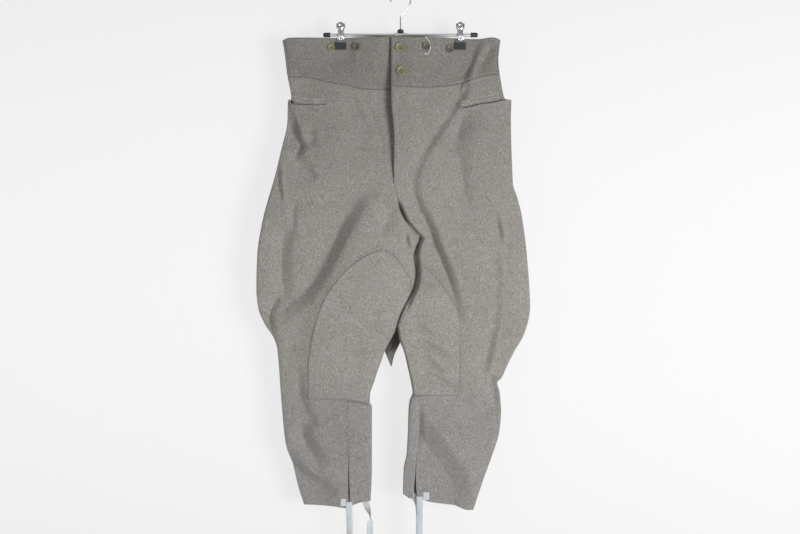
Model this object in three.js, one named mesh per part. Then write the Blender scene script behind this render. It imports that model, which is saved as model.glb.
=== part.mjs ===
// Uniform trousers: wool riding breeches that hang from a clip hanger.
// Millimetres, +Z up. The front faces -Y, and +X is the wearer's left.
// The origin is the inside top of the hanger's hook.
//
// Every cloth piece is a wall between two surfaces of one form. The form is worked out by clothPoint()
// from the outline tables, the depth table and the creases: s runs from 0 at the centre line or inseam
// to 1 at the outline, and inset is how far inside the outer face of the cloth a point lies.

import * as THREE from 'three';

// ---------------------------------------------------------------- driving sizes

const CLOTH = 2;
const SEAM = 0.3;
const CREASE_FLOOR = 0.1;

const WAIST_SEAM_GAP = SEAM / 2;
const PATCH_LIFT = 0.95;
const PATCH_CLOTH = 1.4;
const MOUTH_GAP = 2.4;
const MOUTH_BORDER = 10;
const FLY_END = -384;
const FLY_OVERLAP = CLOTH + 0.6;
const UNDERLAP_SHARE = -0.19;
const UNDERLAP_SEAM_SHARE = -0.03;
const LEGS_PART = -668;

const OUTER_ROUND = 2.4;
const INNER_ROUND = 3;

const CLIP_X = 119.5;
const CLIP_WIDTH = 14;
const PAD_WIDTH = 22;
const BAR_Z = -90;
const BAR_RADIUS = 3.2;
const HOOK_RADIUS = 20;
const WIRE_RADIUS = 1.4;
const TAPE_WIDTH = 12.5;
const TAPE_THICKNESS = 1;

// ---------------------------------------------------------------- tables

/** Names the columns of a short table: one object for each row. */
function table(columns, rows) {
  return rows.map((row) => Object.fromEntries(columns.map((name, i) => [name, row[i]])));
}

/** A smooth curve through a table's rows that never overshoots them, held level past both ends. */
function curve(rows, from, to) {
  const knots = rows.map((row) => [row[from], row[to]]).sort((a, b) => a[0] - b[0]);
  const last = knots.length - 1;
  const rise = knots.slice(1).map((knot, i) => (knot[1] - knots[i][1]) / (knot[0] - knots[i][0]));
  const slope = knots.map((knot, i) => {
    if (i === 0) return rise[0];
    if (i === last) return rise[last - 1];
    const product = rise[i - 1] * rise[i];
    return product <= 0 ? 0 : (2 * product) / (rise[i - 1] + rise[i]);
  });
  return (at) => {
    if (at <= knots[0][0]) return knots[0][1];
    if (at >= knots[last][0]) return knots[last][1];
    const i = knots.findIndex((knot, k) => k < last && at < knots[k + 1][0]);
    const width = knots[i + 1][0] - knots[i][0];
    const t = (at - knots[i][0]) / width;
    const start = (1 + 2 * t) * (1 - t) ** 2 * knots[i][1] + t * (1 - t) ** 2 * width * slope[i];
    const end = t * t * (3 - 2 * t) * knots[i + 1][1] + t * t * (t - 1) * width * slope[i + 1];
    return start + end;
  };
}

const edge = (rows) => curve(table(['z', 'x'], rows), 'z', 'x');

// The outline of each side, from the waistband's top corner to the hem.
const OUTLINE = {
  right: edge([
    [-97, -236], [-126, -231], [-174, -225], [-219.5, -217.5], [-222.2, -224], [-262, -225],
    [-310, -234], [-380, -251], [-461, -273], [-530, -284], [-600, -286], [-636, -282],
    [-665, -271], [-698, -250], [-716, -244.7], [-816, -237], [-906, -227.6], [-948, -214.4],
    [-988, -204.4], [-1040, -188],
  ]),
  left: edge([
    [-97, 199.5], [-141, 195], [-187, 200.6], [-219.5, 208], [-222.2, 220.6], [-260, 219.6],
    [-386, 222.6], [-418, 232], [-451, 240], [-532, 250.6], [-636, 257], [-662, 253], [-690, 244],
    [-720, 227], [-752, 211], [-774, 201], [-784, 192.5], [-803, 197.5], [-839, 199.8],
    [-880, 196.2], [-928, 181.8], [-978, 164], [-1040, 144],
  ]),
};

// The centre line: the fly's edge, the crotch seam, then the valley where the legs touch.
const CENTRE = edge([
  [-93, -18.5], [-222, -18], [-297, -12.5], [-386, -13], [-415, -7.5], [-438, -1], [-461, 11],
  [-478, 26], [-495, 39.5], [-512, 33], [-532, 27], [-562, 30], [-590, 27], [-617, 15],
  [-640, 3.5], [-668, -7],
]);

const INSEAM = {
  right: edge([
    [-668, -7], [-681, -11], [-716, -29], [-746, -40], [-780, -51.5], [-812, -61], [-826, -61],
    [-834, -57], [-949, -57], [-1040, -60.5],
  ]),
  left: edge([
    [-668, -7], [-702, -1.2], [-718, 5.6], [-757, 15], [-789, 21.8], [-805, 24], [-821, 18.2],
    [-837, 16], [-894, 14], [-928, 12], [-960, 6], [-1040, 4],
  ]),
};

// Half depths of the front and back, and how far the section has closed into a leg (0 to 1).
const SECTIONS = table(['z', 'front', 'back', 'closed'], [
  [-95, 12, 12, 0],
  [-174, 14, 15, 0],
  [-250, 21, 22, 0],
  [-345, 33, 34, 0],
  [-415, 38, 40, 0],
  [-440, 38.6, 41, 0],
  [-462, 39, 41.6, 0.12],
  [-480, 39.4, 42, 0.5],
  [-497, 39.8, 42.4, 1],
  [-610, 40, 43, 1],
  [-668, 36, 39, 1],
  [-720, 30, 33, 1],
  [-780, 26, 29, 1],
  [-880, 27, 30, 1],
  [-960, 21, 23, 1],
  [-1040, 15, 16, 1],
]);
const DEPTH = { front: curve(SECTIONS, 'z', 'front'), back: curve(SECTIONS, 'z', 'back') };
const CLOSED = curve(SECTIONS, 'z', 'closed');

// How far the back panel wraps round the outline onto the front, to the side seam.
const WRAP_ROWS = table(['z', 'right', 'left'], [
  [-200, 3, 3],
  [-330, 6, 3],
  [-375, 15, 3],
  [-418, 26, 12],
  [-462, 35, 25],
  [-540, 41, 38],
  [-612, 44, 50],
  [-640, 24, 51],
  [-665, 13, 49],
  [-696, 3, 46],
  [-740, 3, 33],
  [-780, 3, 17],
  [-821, 3, 15],
  [-880, 3, 3],
]);

// The seam down the shin, and half the width of the slit that it opens into at the hem.
const SHIN_ROWS = table(['z', 'right', 'left', 'rightSlit', 'leftSlit'], [
  [-800, -107, 43, 0, 0],
  [-890, -105, 37, 0, 0],
  [-945, -103, 30.5, 0, 0],
  [-985, -102.5, 28.5, 1.5, 4.5],
  [-1036, -101.5, 27, 5.5, 12],
]);
const POCKET_END = { right: 0.627, left: 0.563 };
const POCKET_Z = -250;
const SHIN_TOP = -800;

// Heights of the seams that run across, by the share s of the way from the inner line to the outline.
const ACROSS = {
  waistTop: table(['s', 'right', 'left'], [
    [0, -95, -95], [0.5, -96, -96], [0.8, -96.5, -99], [0.93, -97, -96], [1, -102, -101],
  ]),
  waistSeam: table(['s', 'right', 'left'], [
    [0, -199.5, -195], [0.25, -200, -196], [0.45, -191, -194], [0.65, -184, -186],
    [0.75, -178, -179], [0.85, -175, -172], [1, -175, -169],
  ]),
  mouth: table(['s', 'right', 'left'], [
    [0.6, -231, -237], [0.72, -232.5, -230], [0.85, -231, -225.5], [0.95, -225.5, -222],
    [1, -221, -221.6],
  ]),
  knee: table(['s', 'right', 'left'], [
    [0, -827, -808], [0.15, -821, -808.5], [0.35, -817, -809], [1, -816, -808],
  ]),
  hem: table(['s', 'right', 'left'], [
    [0, -1020, -1005], [0.1, -1021, -1014], [0.25, -1027, -1015], [0.33, -1034, -1020],
    [0.55, -1030, -1025], [0.72, -1028, -1028], [0.92, -1027, -1037], [1, -1027, -1037],
  ]),
};

// The rows of every panel's grid, from the waist seam to the hem.
const ROWS = [
  { seam: 'waistSeam', shift: -WAIST_SEAM_GAP },
  { seam: 'mouth', shift: MOUTH_BORDER },
  { seam: 'mouth', shift: MOUTH_GAP / 2 },
  { seam: 'mouth', shift: -MOUTH_GAP / 2 },
  ...[-252, -280, -312, -345, -372, FLY_END, -398, -430, -462, -480, -497, -526, -541, -560,
    -585, -612, -640, -668, -697, -725, -752, -781].map((z) => ({ z })),
  { seam: 'knee', shift: 0 },
  ...[-845, -880, -915, -950, -985].map((z) => ({ z })),
  { seam: 'hem', shift: 0 },
];
const MOUTH_ROW = 2;
const ARCH_ROW = ROWS.findIndex((row) => row.z === -526);
const KNEE_ROW = ROWS.findIndex((row) => row.seam === 'knee');
const FLY_ROW = ROWS.findIndex((row) => row.z === -372);
const INNER_COLUMNS = 6;
const OUTER_COLUMNS = 6;
const WRAP_COLUMNS = 3;
const BACK_COLUMNS = 11;

// Where each knee patch begins and ends on its row; an empty inner end is sewn in the inseam.
const PATCH_ROWS = table(['z', 'rightInner', 'rightOuter', 'leftOuter'], [
  [-526, -24, -55, null],
  [-541, -8, -82, null],
  [-560, 5, -107, 55],
  [-585, 21, -129, 79],
  [-612, null, -148, 94],
  [-640, null, -160, 115],
  [-668, null, -169, 119],
  [-697, null, -176, 117],
  [-725, null, -180, 117],
  [-752, null, -183, 117],
  [-781, null, -184, 117],
  [-817, null, -184, 116],
]);

// The largest creases: depth inwards (a ridge is negative), width, and the line that each follows.
const CREASES = {
  front: [
    { depth: 9, width: 26, path: [[-51, -408], [-89, -436], [-131, -496], [-165, -564],
      [-195, -596], [-237, -626]] },
    { depth: 4.6, width: 23, path: [[30, -399], [50, -456], [82, -528], [114, -601], [122, -640]] },
    { depth: 4, width: 16, path: [[157, -120], [130, -174], [111, -229], [78, -283], [55, -330]] },
    { depth: 5, width: 16, path: [[-191, -824], [-178, -854], [-161, -900]] },
    { depth: 4, width: 15, path: [[-206, -941], [-161, -979], [-121, -1003]] },
    { depth: -5, width: 18, path: [[64, -866], [89, -898], [118, -934], [144, -982]] },
    { depth: 4, width: 13, path: [[181, -700], [173, -742], [185, -810]] },
  ],
  back: [
    { depth: 7, width: 24, path: [[-70, -430], [-140, -520], [-200, -600]] },
    { depth: 7, width: 24, path: [[60, -430], [130, -520], [190, -600]] },
    { depth: 4, width: 16, path: [[-200, -850], [-120, -905]] },
    { depth: 4, width: 16, path: [[170, -860], [90, -915]] },
  ],
};

// ---------------------------------------------------------------- the garment's form

const lerp = THREE.MathUtils.lerp;
const clamp = THREE.MathUtils.clamp;

/** 0 before start, 1 after end, smooth between. */
function ramp(value, start, end) {
  const t = clamp((value - start) / (end - start), 0, 1);
  return t * t * (3 - 2 * t);
}

const outward = (side) => (side === 'right' ? -1 : 1);
const innerLine = (side, z) => (z > LEGS_PART ? CENTRE(z) : INSEAM[side](z));

/** Depth of the creases at a point: each is a soft trough that fades at both ends of its line. */
function creaseDepth(face, x, z) {
  let total = 0;
  for (const { depth, width, path } of CREASES[face]) {
    let nearest = Infinity;
    let along = 0;
    for (let i = 0; i + 1 < path.length; i += 1) {
      const [ax, az] = path[i];
      const dx = path[i + 1][0] - ax;
      const dz = path[i + 1][1] - az;
      const t = clamp(((x - ax) * dx + (z - az) * dz) / (dx * dx + dz * dz), 0, 1);
      const distance = Math.hypot(x - ax - t * dx, z - az - t * dz);
      if (distance < nearest) {
        nearest = distance;
        along = (i + t) / (path.length - 1);
      }
    }
    const fade = ramp(Math.min(along, 1 - along), -0.08, 0.22);
    total += depth * fade * Math.exp(-((nearest / width) ** 2));
  }
  return total;
}

/** How hard the clips press front and back together at a point of the waistband, 0 to 1. */
function clipGrip(x, z) {
  const beside = 1 - ramp(Math.abs(Math.abs(x) - CLIP_X), 30, 75);
  const below = ramp(z, -200, -130);
  return beside * below;
}

/** The front of the wearer's left side stands over the button stand as far as the fly's end. */
function flyOverlap(side, face, x, z) {
  if (side === 'right' || face === 'back') return 0;
  return FLY_OVERLAP * (1 - ramp(x, 30, 62)) * ramp(z, -398, FLY_END);
}

/** A point of the cloth: side, face, share s of the way out, height z, and depth under the outer face. */
function clothPoint(side, face, s, z, inset) {
  const closed = CLOSED(z);
  const out = outward(side);
  const inner = innerLine(side, z) + out * (SEAM / 2 + inset * closed);
  const outer = OUTLINE[side](z) - out * inset;
  const x = lerp(inner, outer, s);
  const free = DEPTH[face](z) - creaseDepth(face, x, z) + flyOverlap(side, face, x, z);
  const depth = Math.max(CLOTH + CREASE_FLOOR, lerp(free, CLOTH + CREASE_FLOOR, clipGrip(x, z)));
  const roundOut = (1 - Math.min(1, Math.abs(s)) ** OUTER_ROUND) ** (1 / OUTER_ROUND);
  const roundIn = (1 - (1 - clamp(s, 0, 1)) ** INNER_ROUND) ** (1 / INNER_ROUND);
  const y = SEAM / 2 + (depth - inset) * roundOut * lerp(1, roundIn, closed);
  return new THREE.Vector3(x, face === 'front' ? -y : y, z);
}

/** The share s of a place x on a side at height z. */
function shareAt(side, x, z) {
  const inner = innerLine(side, z);
  return (x - inner) / (OUTLINE[side](z) - inner);
}

/** A point on or over the outer face of the front at place x, z. */
function onFront(x, z, lift) {
  const side = x < innerLine('left', z) ? 'right' : 'left';
  const point = clothPoint(side, 'front', shareAt(side, x, z), z, 0);
  return new THREE.Vector3(x, point.y - lift, z);
}

// ---------------------------------------------------------------- solids from surfaces

/** Triangles of a grid of rows and columns, without the cells that keep() refuses. */
function gridTriangles(rows, columns, keep) {
  const triangles = [];
  for (let r = 0; r < rows; r += 1) {
    for (let c = 0; c < columns; c += 1) {
      if (keep(r, c)) {
        const a = r * (columns + 1) + c;
        const b = a + columns + 1;
        triangles.push([a, b, a + 1], [a + 1, b, b + 1]);
      }
    }
  }
  return triangles;
}

/** One closed wall between an outer and an inner surface that share their triangles. */
function wall(outerPoints, innerPoints, triangles) {
  const points = [...outerPoints, ...innerPoints];
  const shift = outerPoints.length;
  const faces = [];
  const edges = new Map();
  for (const [a, b, c] of triangles) {
    faces.push([a, b, c], [c + shift, b + shift, a + shift]);
    for (const [from, to] of [[a, b], [b, c], [c, a]]) edges.set(`${from}_${to}`, [from, to]);
  }
  for (const [from, to] of edges.values()) {
    if (!edges.has(`${to}_${from}`)) {
      faces.push([from, from + shift, to], [to, from + shift, to + shift]);
    }
  }
  const volume = faces.reduce((sum, [a, b, c]) => (
    sum + points[a].dot(new THREE.Vector3().crossVectors(points[b], points[c]))), 0);
  const used = new Map();
  const positions = [];
  const index = faces.flatMap((face) => (volume < 0 ? [face[0], face[2], face[1]] : face)).map((i) => {
    if (!used.has(i)) {
      used.set(i, used.size);
      positions.push(...points[i].toArray());
    }
    return used.get(i);
  });
  const geometry = new THREE.BufferGeometry();
  geometry.setAttribute('position', new THREE.Float32BufferAttribute(positions, 3));
  geometry.setIndex(index);
  geometry.computeVertexNormals();
  return geometry;
}

/** A wall over a grid: place(r, c) gives [face, s, z], and keep(r, c) the cells to build. */
function clothWall(side, rows, columns, place, { insets = [0, CLOTH], keep = () => true } = {}) {
  const surface = (inset) => {
    const points = [];
    for (let r = 0; r <= rows; r += 1) {
      for (let c = 0; c <= columns; c += 1) {
        const [face, s, z] = place(r, c);
        points.push(clothPoint(side, face, s, z, inset));
      }
    }
    return points;
  };
  return wall(surface(insets[0]), surface(insets[1]), gridTriangles(rows, columns, keep));
}

// ---------------------------------------------------------------- rows and columns of the panels

const acrossCurves = Object.fromEntries(Object.entries(ACROSS).map(([name, rows]) => [name, {
  right: curve(rows, 's', 'right'),
  left: curve(rows, 's', 'left'),
}]));
const wrapCurves = { right: curve(WRAP_ROWS, 'z', 'right'), left: curve(WRAP_ROWS, 'z', 'left') };
const shinCurves = Object.fromEntries(['right', 'left', 'rightSlit', 'leftSlit'].map(
  (name) => [name, curve(SHIN_ROWS, 'z', name)],
));

/** Height of a grid row at share s. */
function rowHeight(row, side, s) {
  const { seam, shift, z } = ROWS[row];
  return seam ? acrossCurves[seam][side](Math.abs(s)) + shift : z;
}

/** A length across the cloth, as a share of the way from the inner line to the outline. */
const asShare = (side, z, length) => length / Math.abs(OUTLINE[side](z) - innerLine(side, z));

/** Share of the side seam, where the front panel ends and the back panel begins. */
const seamShare = (side, z) => 1 - asShare(side, z, wrapCurves[side](z));

/** Share of the column that is the pocket's inner end above and the shin seam below. */
function breakShare(side, z) {
  if (z < SHIN_TOP) return shareAt(side, shinCurves[side](z), z);
  const shin = shareAt(side, shinCurves[side](SHIN_TOP), SHIN_TOP);
  return lerp(shin, POCKET_END[side], clamp((z - SHIN_TOP) / (POCKET_Z - SHIN_TOP), 0, 1));
}

/** Half the gap between the shin panel and the front panel, as a share: a seam that opens to a slit. */
const shinGap = (side, z) => asShare(side, z, SEAM / 2 + shinCurves[`${side}Slit`](z));

/** Even steps in the torso, and steps that crowd towards the inseam in the leg. */
function innerStep(t, z) {
  return lerp(t, 1 - Math.cos((t * Math.PI) / 2), CLOSED(z));
}

/** Face, share and height of a column of the front panel on a row. */
function frontPlace(side) {
  return (row, column) => {
    const level = rowHeight(row, side, 0.6);
    const gap = asShare(side, level, SEAM / 2);
    const middle = breakShare(side, level) + (row > KNEE_ROW ? shinGap(side, level) : 0);
    let s = seamShare(side, level) - gap;
    if (column <= INNER_COLUMNS) {
      const first = side === 'right' && row <= FLY_ROW ? UNDERLAP_SEAM_SHARE : 0;
      s = lerp(first, middle, innerStep(column / INNER_COLUMNS, level));
    } else {
      s = lerp(middle, s, Math.sin((((column - INNER_COLUMNS) / OUTER_COLUMNS) * Math.PI) / 2));
    }
    return ['front', s, rowHeight(row, side, s)];
  };
}

/** Face, share and height of a column of the back panel, which starts at the side seam in front. */
function backPlace(side) {
  return (row, column) => {
    const level = rowHeight(row, side, 1);
    if (column <= WRAP_COLUMNS) {
      const t = Math.sin(((column / WRAP_COLUMNS) * Math.PI) / 2);
      const s = lerp(seamShare(side, level) + asShare(side, level, SEAM / 2), 1, t);
      return ['front', s, rowHeight(row, side, s)];
    }
    const t = (column - WRAP_COLUMNS) / BACK_COLUMNS;
    const open = Math.cos((t * Math.PI) / 2);
    const s = lerp(open, (1 + Math.cos(t * Math.PI)) / 2, CLOSED(level));
    return ['back', s, rowHeight(row, side, s)];
  };
}

// ---------------------------------------------------------------- materials and the group

const MATERIALS = {
  wool: new THREE.MeshStandardMaterial({ color: 0x77726a, roughness: 0.95, metalness: 0 }),
  lining: new THREE.MeshStandardMaterial({ color: 0x66615a, roughness: 0.95, metalness: 0 }),
  tape: new THREE.MeshStandardMaterial({ color: 0xbcc6cf, roughness: 0.9, metalness: 0 }),
  olive: new THREE.MeshStandardMaterial({ color: 0x7d7550, roughness: 0.5, metalness: 0 }),
  brown: new THREE.MeshStandardMaterial({ color: 0x4c4436, roughness: 0.5, metalness: 0 }),
  chrome: new THREE.MeshStandardMaterial({ color: 0xd0d2d4, roughness: 0.15, metalness: 1 }),
  black: new THREE.MeshStandardMaterial({ color: 0x1c1c1e, roughness: 0.6, metalness: 0 }),
};

const trousers = new THREE.Group();

function add(name, geometry, material) {
  const mesh = new THREE.Mesh(geometry, MATERIALS[material]);
  mesh.name = name;
  trousers.add(mesh);
  return mesh;
}

// ---------------------------------------------------------------- cloth pieces

const WAISTBAND_ROWS = 3;
const UNDERLAP_COLUMNS = 3;

/** A waistband part stands on the columns of the panel below it, and the right one runs on under the fly. */
function addWaistband(side, face) {
  const underlap = side === 'right' && face === 'front' ? UNDERLAP_COLUMNS : 0;
  const panel = face === 'front' ? frontPlace(side) : backPlace(side);
  const panelColumns = face === 'front' ? INNER_COLUMNS + OUTER_COLUMNS : WRAP_COLUMNS + BACK_COLUMNS;
  const place = (row, column) => {
    let [turnedFace, s] = panel(0, Math.max(0, column - underlap));
    if (column < underlap) s = lerp(UNDERLAP_SHARE, UNDERLAP_SEAM_SHARE, column / underlap);
    const top = acrossCurves.waistTop[side](Math.abs(s));
    const bottom = acrossCurves.waistSeam[side](Math.abs(s)) + WAIST_SEAM_GAP;
    return [turnedFace, s, lerp(top, bottom, row / WAISTBAND_ROWS)];
  };
  const geometry = clothWall(side, WAISTBAND_ROWS, underlap + panelColumns, place);
  add(`waistband_${face}_${side}`, geometry, 'wool');
}

function addFront(side) {
  const keep = (row, column) => {
    const inMouth = row === MOUTH_ROW && column >= INNER_COLUMNS;
    const inShin = row >= KNEE_ROW && column < INNER_COLUMNS;
    return !inMouth && !inShin;
  };
  const columns = INNER_COLUMNS + OUTER_COLUMNS;
  add(`front_${side}`, clothWall(side, ROWS.length - 1, columns, frontPlace(side), { keep }), 'wool');
}

function addBack(side) {
  const columns = WRAP_COLUMNS + BACK_COLUMNS;
  add(`back_${side}`, clothWall(side, ROWS.length - 1, columns, backPlace(side)), 'wool');
}

function addShin(side) {
  const rows = ROWS.length - 1 - KNEE_ROW;
  const place = (row, column) => {
    const level = rowHeight(KNEE_ROW + row, side, 0.2);
    const end = breakShare(side, level) - shinGap(side, level);
    const s = end * innerStep(column / INNER_COLUMNS, level);
    return ['front', s, rowHeight(KNEE_ROW + row, side, s) - (row === 0 ? SEAM : 0)];
  };
  add(`shin_inner_${side}`, clothWall(side, rows, INNER_COLUMNS, place), 'wool');
}

function addPocketFacing(side) {
  const firstColumn = INNER_COLUMNS - 1;
  const place = (row, column) => frontPlace(side)(MOUTH_ROW - 1 + row, firstColumn + column);
  const insets = [CLOTH + SEAM, CLOTH + SEAM + 1.5];
  add(`pocket_facing_${side}`, clothWall(side, 3, OUTER_COLUMNS + 1, place, { insets }), 'lining');
}

function addButtonStand() {
  const columns = UNDERLAP_COLUMNS;
  const place = (row, column) => {
    const last = UNDERLAP_SEAM_SHARE - asShare('right', FLY_END, SEAM);
    const s = lerp(UNDERLAP_SHARE, last, column / columns);
    return ['front', s, rowHeight(row, 'right', s)];
  };
  add('fly_button_stand', clothWall('right', FLY_ROW, columns, place), 'wool');
}

/** A knee patch follows the front panel's own rows and columns, cut off at its arch and moved out. */
function addKneePatch(side) {
  const place = frontPlace(side);
  const first = PATCH_ROWS.findIndex((row) => row[`${side}Outer`] !== null);
  const columns = INNER_COLUMNS + OUTER_COLUMNS;
  const along = (row, column, inset) => {
    const low = Math.min(Math.floor(column), columns - 1);
    const [a, b] = [low, low + 1].map((c) => clothPoint(side, ...place(row, c), inset));
    return a.lerp(b, column - low);
  };
  const columnAt = (row, x) => {
    for (let c = 0; c < columns; c += 1) {
      const a = along(row, c, 0).x;
      const b = along(row, c + 1, 0).x;
      if ((x - a) * (x - b) <= 0) return c + (x - a) / (b - a);
    }
    return columns;
  };
  const keys = new Map();
  const spots = [];
  const spotAt = (row, column) => {
    const key = `${row}_${column.toFixed(4)}`;
    if (!keys.has(key)) {
      keys.set(key, spots.length);
      spots.push([row, column]);
    }
    return keys.get(key);
  };
  const lines = PATCH_ROWS.slice(first).map((bounds, i) => {
    const row = ARCH_ROW + first + i;
    const innerEdge = bounds[`${side}Inner`] ?? null;
    const start = innerEdge === null ? 1 : Math.max(1, Math.round(columnAt(row, innerEdge)));
    const end = columnAt(row, bounds[`${side}Outer`]);
    return Array.from({ length: columns + 1 }, (_, c) => spotAt(row, clamp(c, start, end)));
  });
  const triangles = [];
  for (let r = 0; r + 1 < lines.length; r += 1) {
    for (let c = 0; c < columns; c += 1) {
      const corners = [lines[r][c], lines[r + 1][c], lines[r][c + 1], lines[r + 1][c + 1]];
      triangles.push([corners[0], corners[1], corners[2]], [corners[2], corners[1], corners[3]]);
    }
  }
  const whole = triangles.filter((triangle) => new Set(triangle).size === 3);
  const surface = (inset) => spots.map(([row, column]) => along(row, column, inset));
  add(`knee_patch_${side}`, wall(surface(-PATCH_LIFT - PATCH_CLOTH), surface(-PATCH_LIFT), whole), 'wool');
}

for (const side of ['right', 'left']) {
  addWaistband(side, 'front');
  addWaistband(side, 'back');
  addFront(side);
  addBack(side);
  addShin(side);
  addPocketFacing(side);
  addKneePatch(side);
}
addButtonStand();

// ---------------------------------------------------------------- buttons

const BUTTONS = table(['name', 'x', 'z', 'diameter', 'lift', 'material'], [
  ['waist_button_upper', -1.6, -113.6, 17.5, 0.5, 'olive'],
  ['waist_button_lower', 0.6, -162, 17.5, 0.5, 'olive'],
  ['brace_button_1', -138.2, -113.4, 15, 0.5, 'olive'],
  ['brace_button_2', -87.8, -112, 15, 1, 'brown'],
  ['brace_button_3', 50.4, -111, 16, 0.5, 'brown'],
  ['brace_button_4', 98, -116, 16, 0.5, 'brown'],
]);

/** A dished button with a raised rim, turned to lie on the cloth at its place. */
function addButton({ name, x, z, diameter, lift, material }) {
  const r = diameter / 2;
  const profile = [
    [0, 0], [r * 0.8, 0], [r, 0.9], [r, 2], [r * 0.9, 2.6], [r * 0.72, 2.5], [r * 0.55, 1.7], [0, 1.5],
  ];
  const geometry = new THREE.LatheGeometry(profile.map(([px, py]) => new THREE.Vector2(px, py)), 20);
  const across = onFront(x + r, z, 0).sub(onFront(x - r, z, 0));
  const up = onFront(x, z + r, 0).sub(onFront(x, z - r, 0));
  const normal = new THREE.Vector3().crossVectors(across, up).normalize();
  const button = add(name, geometry, material);
  button.quaternion.setFromUnitVectors(new THREE.Vector3(0, 1, 0), normal);
  button.position.copy(onFront(x, z, 0)).addScaledVector(normal, lift);
}

BUTTONS.forEach(addButton);

// ---------------------------------------------------------------- tie tapes

/** A sewn square end of a tape, a thin plate over the front panel's hem. */
function addTapeEnd(side, xFrom, xTo, top, bottom) {
  const plate = (lift) => [top, bottom].flatMap((z) => (
    [xFrom, xTo].map((x) => onFront(x, z, lift))));
  const geometry = wall(plate(SEAM + TAPE_THICKNESS), plate(SEAM), gridTriangles(1, 1, () => true));
  add(`tape_end_${side}`, geometry, 'tape');
}

/** A flat tape that follows its route, turned about it by the angles given at the route's points. */
function addTape(name, route) {
  const steps = 14;
  const line = new THREE.CatmullRomCurve3(route.map(({ x, y, z }) => new THREE.Vector3(x, y, z)));
  const turns = curve(route.map(({ turn }, i) => ({ t: i / (route.length - 1), turn })), 't', 'turn');
  const outerPoints = [];
  const innerPoints = [];
  for (let i = 0; i <= steps; i += 1) {
    const t = i / steps;
    const point = line.getPoint(t);
    const tangent = line.getTangent(t);
    const flat = new THREE.Vector3().crossVectors(tangent, new THREE.Vector3(0, 1, 0)).normalize();
    const angle = THREE.MathUtils.degToRad(turns(t));
    const width = flat.applyAxisAngle(tangent, angle);
    const thick = new THREE.Vector3().crossVectors(width, tangent).normalize();
    for (const edgeSide of [-0.5, 0.5]) {
      const at = point.clone().addScaledVector(width, edgeSide * TAPE_WIDTH);
      outerPoints.push(at.clone().addScaledVector(thick, TAPE_THICKNESS / 2));
      innerPoints.push(at.clone().addScaledVector(thick, -TAPE_THICKNESS / 2));
    }
  }
  add(name, wall(outerPoints, innerPoints, gridTriangles(steps, 1, () => true)), 'tape');
}

const route = (rows) => table(['x', 'y', 'z', 'turn'], rows);

addTapeEnd('right', -119, -109, -1014, -1029);
addTapeEnd('left', 45, 57, -1002, -1017);
addTape('tie_tape_right_outer', route([
  [-102.2, -15.4, -1021, 0], [-102, -15.6, -1036, 0], [-101.5, -14, -1058, 8], [-101, -13, -1100, 20],
  [-99, -12.5, -1160, -15], [-101, -12, -1220, 10], [-103, -12, -1275, 0],
]));
addTape('tie_tape_right_inner', route([
  [-74, -5.4, -1012, -12], [-67, -4, -1032, 15], [-61, -4, -1052, 80], [-61, -4, -1070, 170],
  [-62, -4, -1130, 180], [-59, -4, -1190, 200], [-60, -4, -1255, 180],
]));
addTape('tie_tape_left_outer', route([
  [38.4, -15.6, -1010, 0], [38.2, -15.6, -1024, 10], [38, -15, -1040, 10], [38, -14.4, -1090, 0],
  [40, -14, -1150, 15], [37, -14, -1210, -10], [38, -14, -1262, 0],
]));
addTape('tie_tape_left_inner', route([
  [12, -3.8, -1000, 0], [25, -7, -1010, 0], [35, -8, -1026, 0], [37, -8.5, -1050, 10],
  [36, -8, -1110, 20], [34, -8, -1170, -10], [36, -8, -1235, 0],
]));

// ---------------------------------------------------------------- the clip hanger

const BAR_HALF = 151;
const CAP_LENGTH = 22;
const CAP_RADIUS = 6;
const SLEEVE_LENGTH = 26;
const SLEEVE_RADIUS = 5;
const FERRULE_HEIGHT = 6;
const JAW_TOP = -66;
const JAW_FOOT = -105.4;
const JAW_THICKNESS = 1.2;
const PAD_TOP = -105.8;
const PAD_HEIGHT = 14;
const PAD_FACE = 2.35;
const PAD_THICKNESS = 3;

/** A turned piece from (radius, height) pairs, with its axis along +Y before it is placed. */
function turned(profile, segments = 20) {
  return new THREE.LatheGeometry(profile.map(([r, h]) => new THREE.Vector2(r, h)), segments);
}

/** A ring profile that closes on itself, between two radii and two heights. */
const ringProfile = (inner, outer, low, high) => [
  [inner, low], [outer, low], [outer, high], [inner, high], [inner, low],
];

function addAlongX(name, geometry, x, z, material) {
  const mesh = add(name, geometry, material);
  mesh.rotation.z = -Math.PI / 2;
  mesh.position.set(x, 0, z);
  return mesh;
}

/** A plate of constant width along X, from an outline in (y, z). */
function plateAlongX(outline, width) {
  const shape = new THREE.Shape(outline.map(([y, z]) => new THREE.Vector2(y, z)));
  const geometry = new THREE.ExtrudeGeometry(shape, { depth: width, bevelEnabled: false });
  geometry.translate(0, 0, -width / 2);
  geometry.applyMatrix4(new THREE.Matrix4().makeBasis(
    new THREE.Vector3(0, 1, 0), new THREE.Vector3(0, 0, 1), new THREE.Vector3(1, 0, 0)));
  return geometry;
}

/** The outline of a jaw: a line down from the barrel, in to the cloth, with its thickness outside. */
function jawOutline(sign) {
  const inside = [[4.9, JAW_TOP], [5, -84], [4.6, -94], [3.2, -99], [2.9, JAW_FOOT]];
  const outside = inside.map(([y, z]) => [y + JAW_THICKNESS, z]).reverse();
  return [...inside, ...outside].map(([y, z]) => [sign * y, z]);
}

function padOutline(sign) {
  const near = sign * PAD_FACE;
  const far = sign * (PAD_FACE + PAD_THICKNESS);
  const foot = PAD_TOP - PAD_HEIGHT;
  return [[near, PAD_TOP], [far, PAD_TOP], [far, foot + 1.5], [far - sign, foot], [near, foot]];
}

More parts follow.
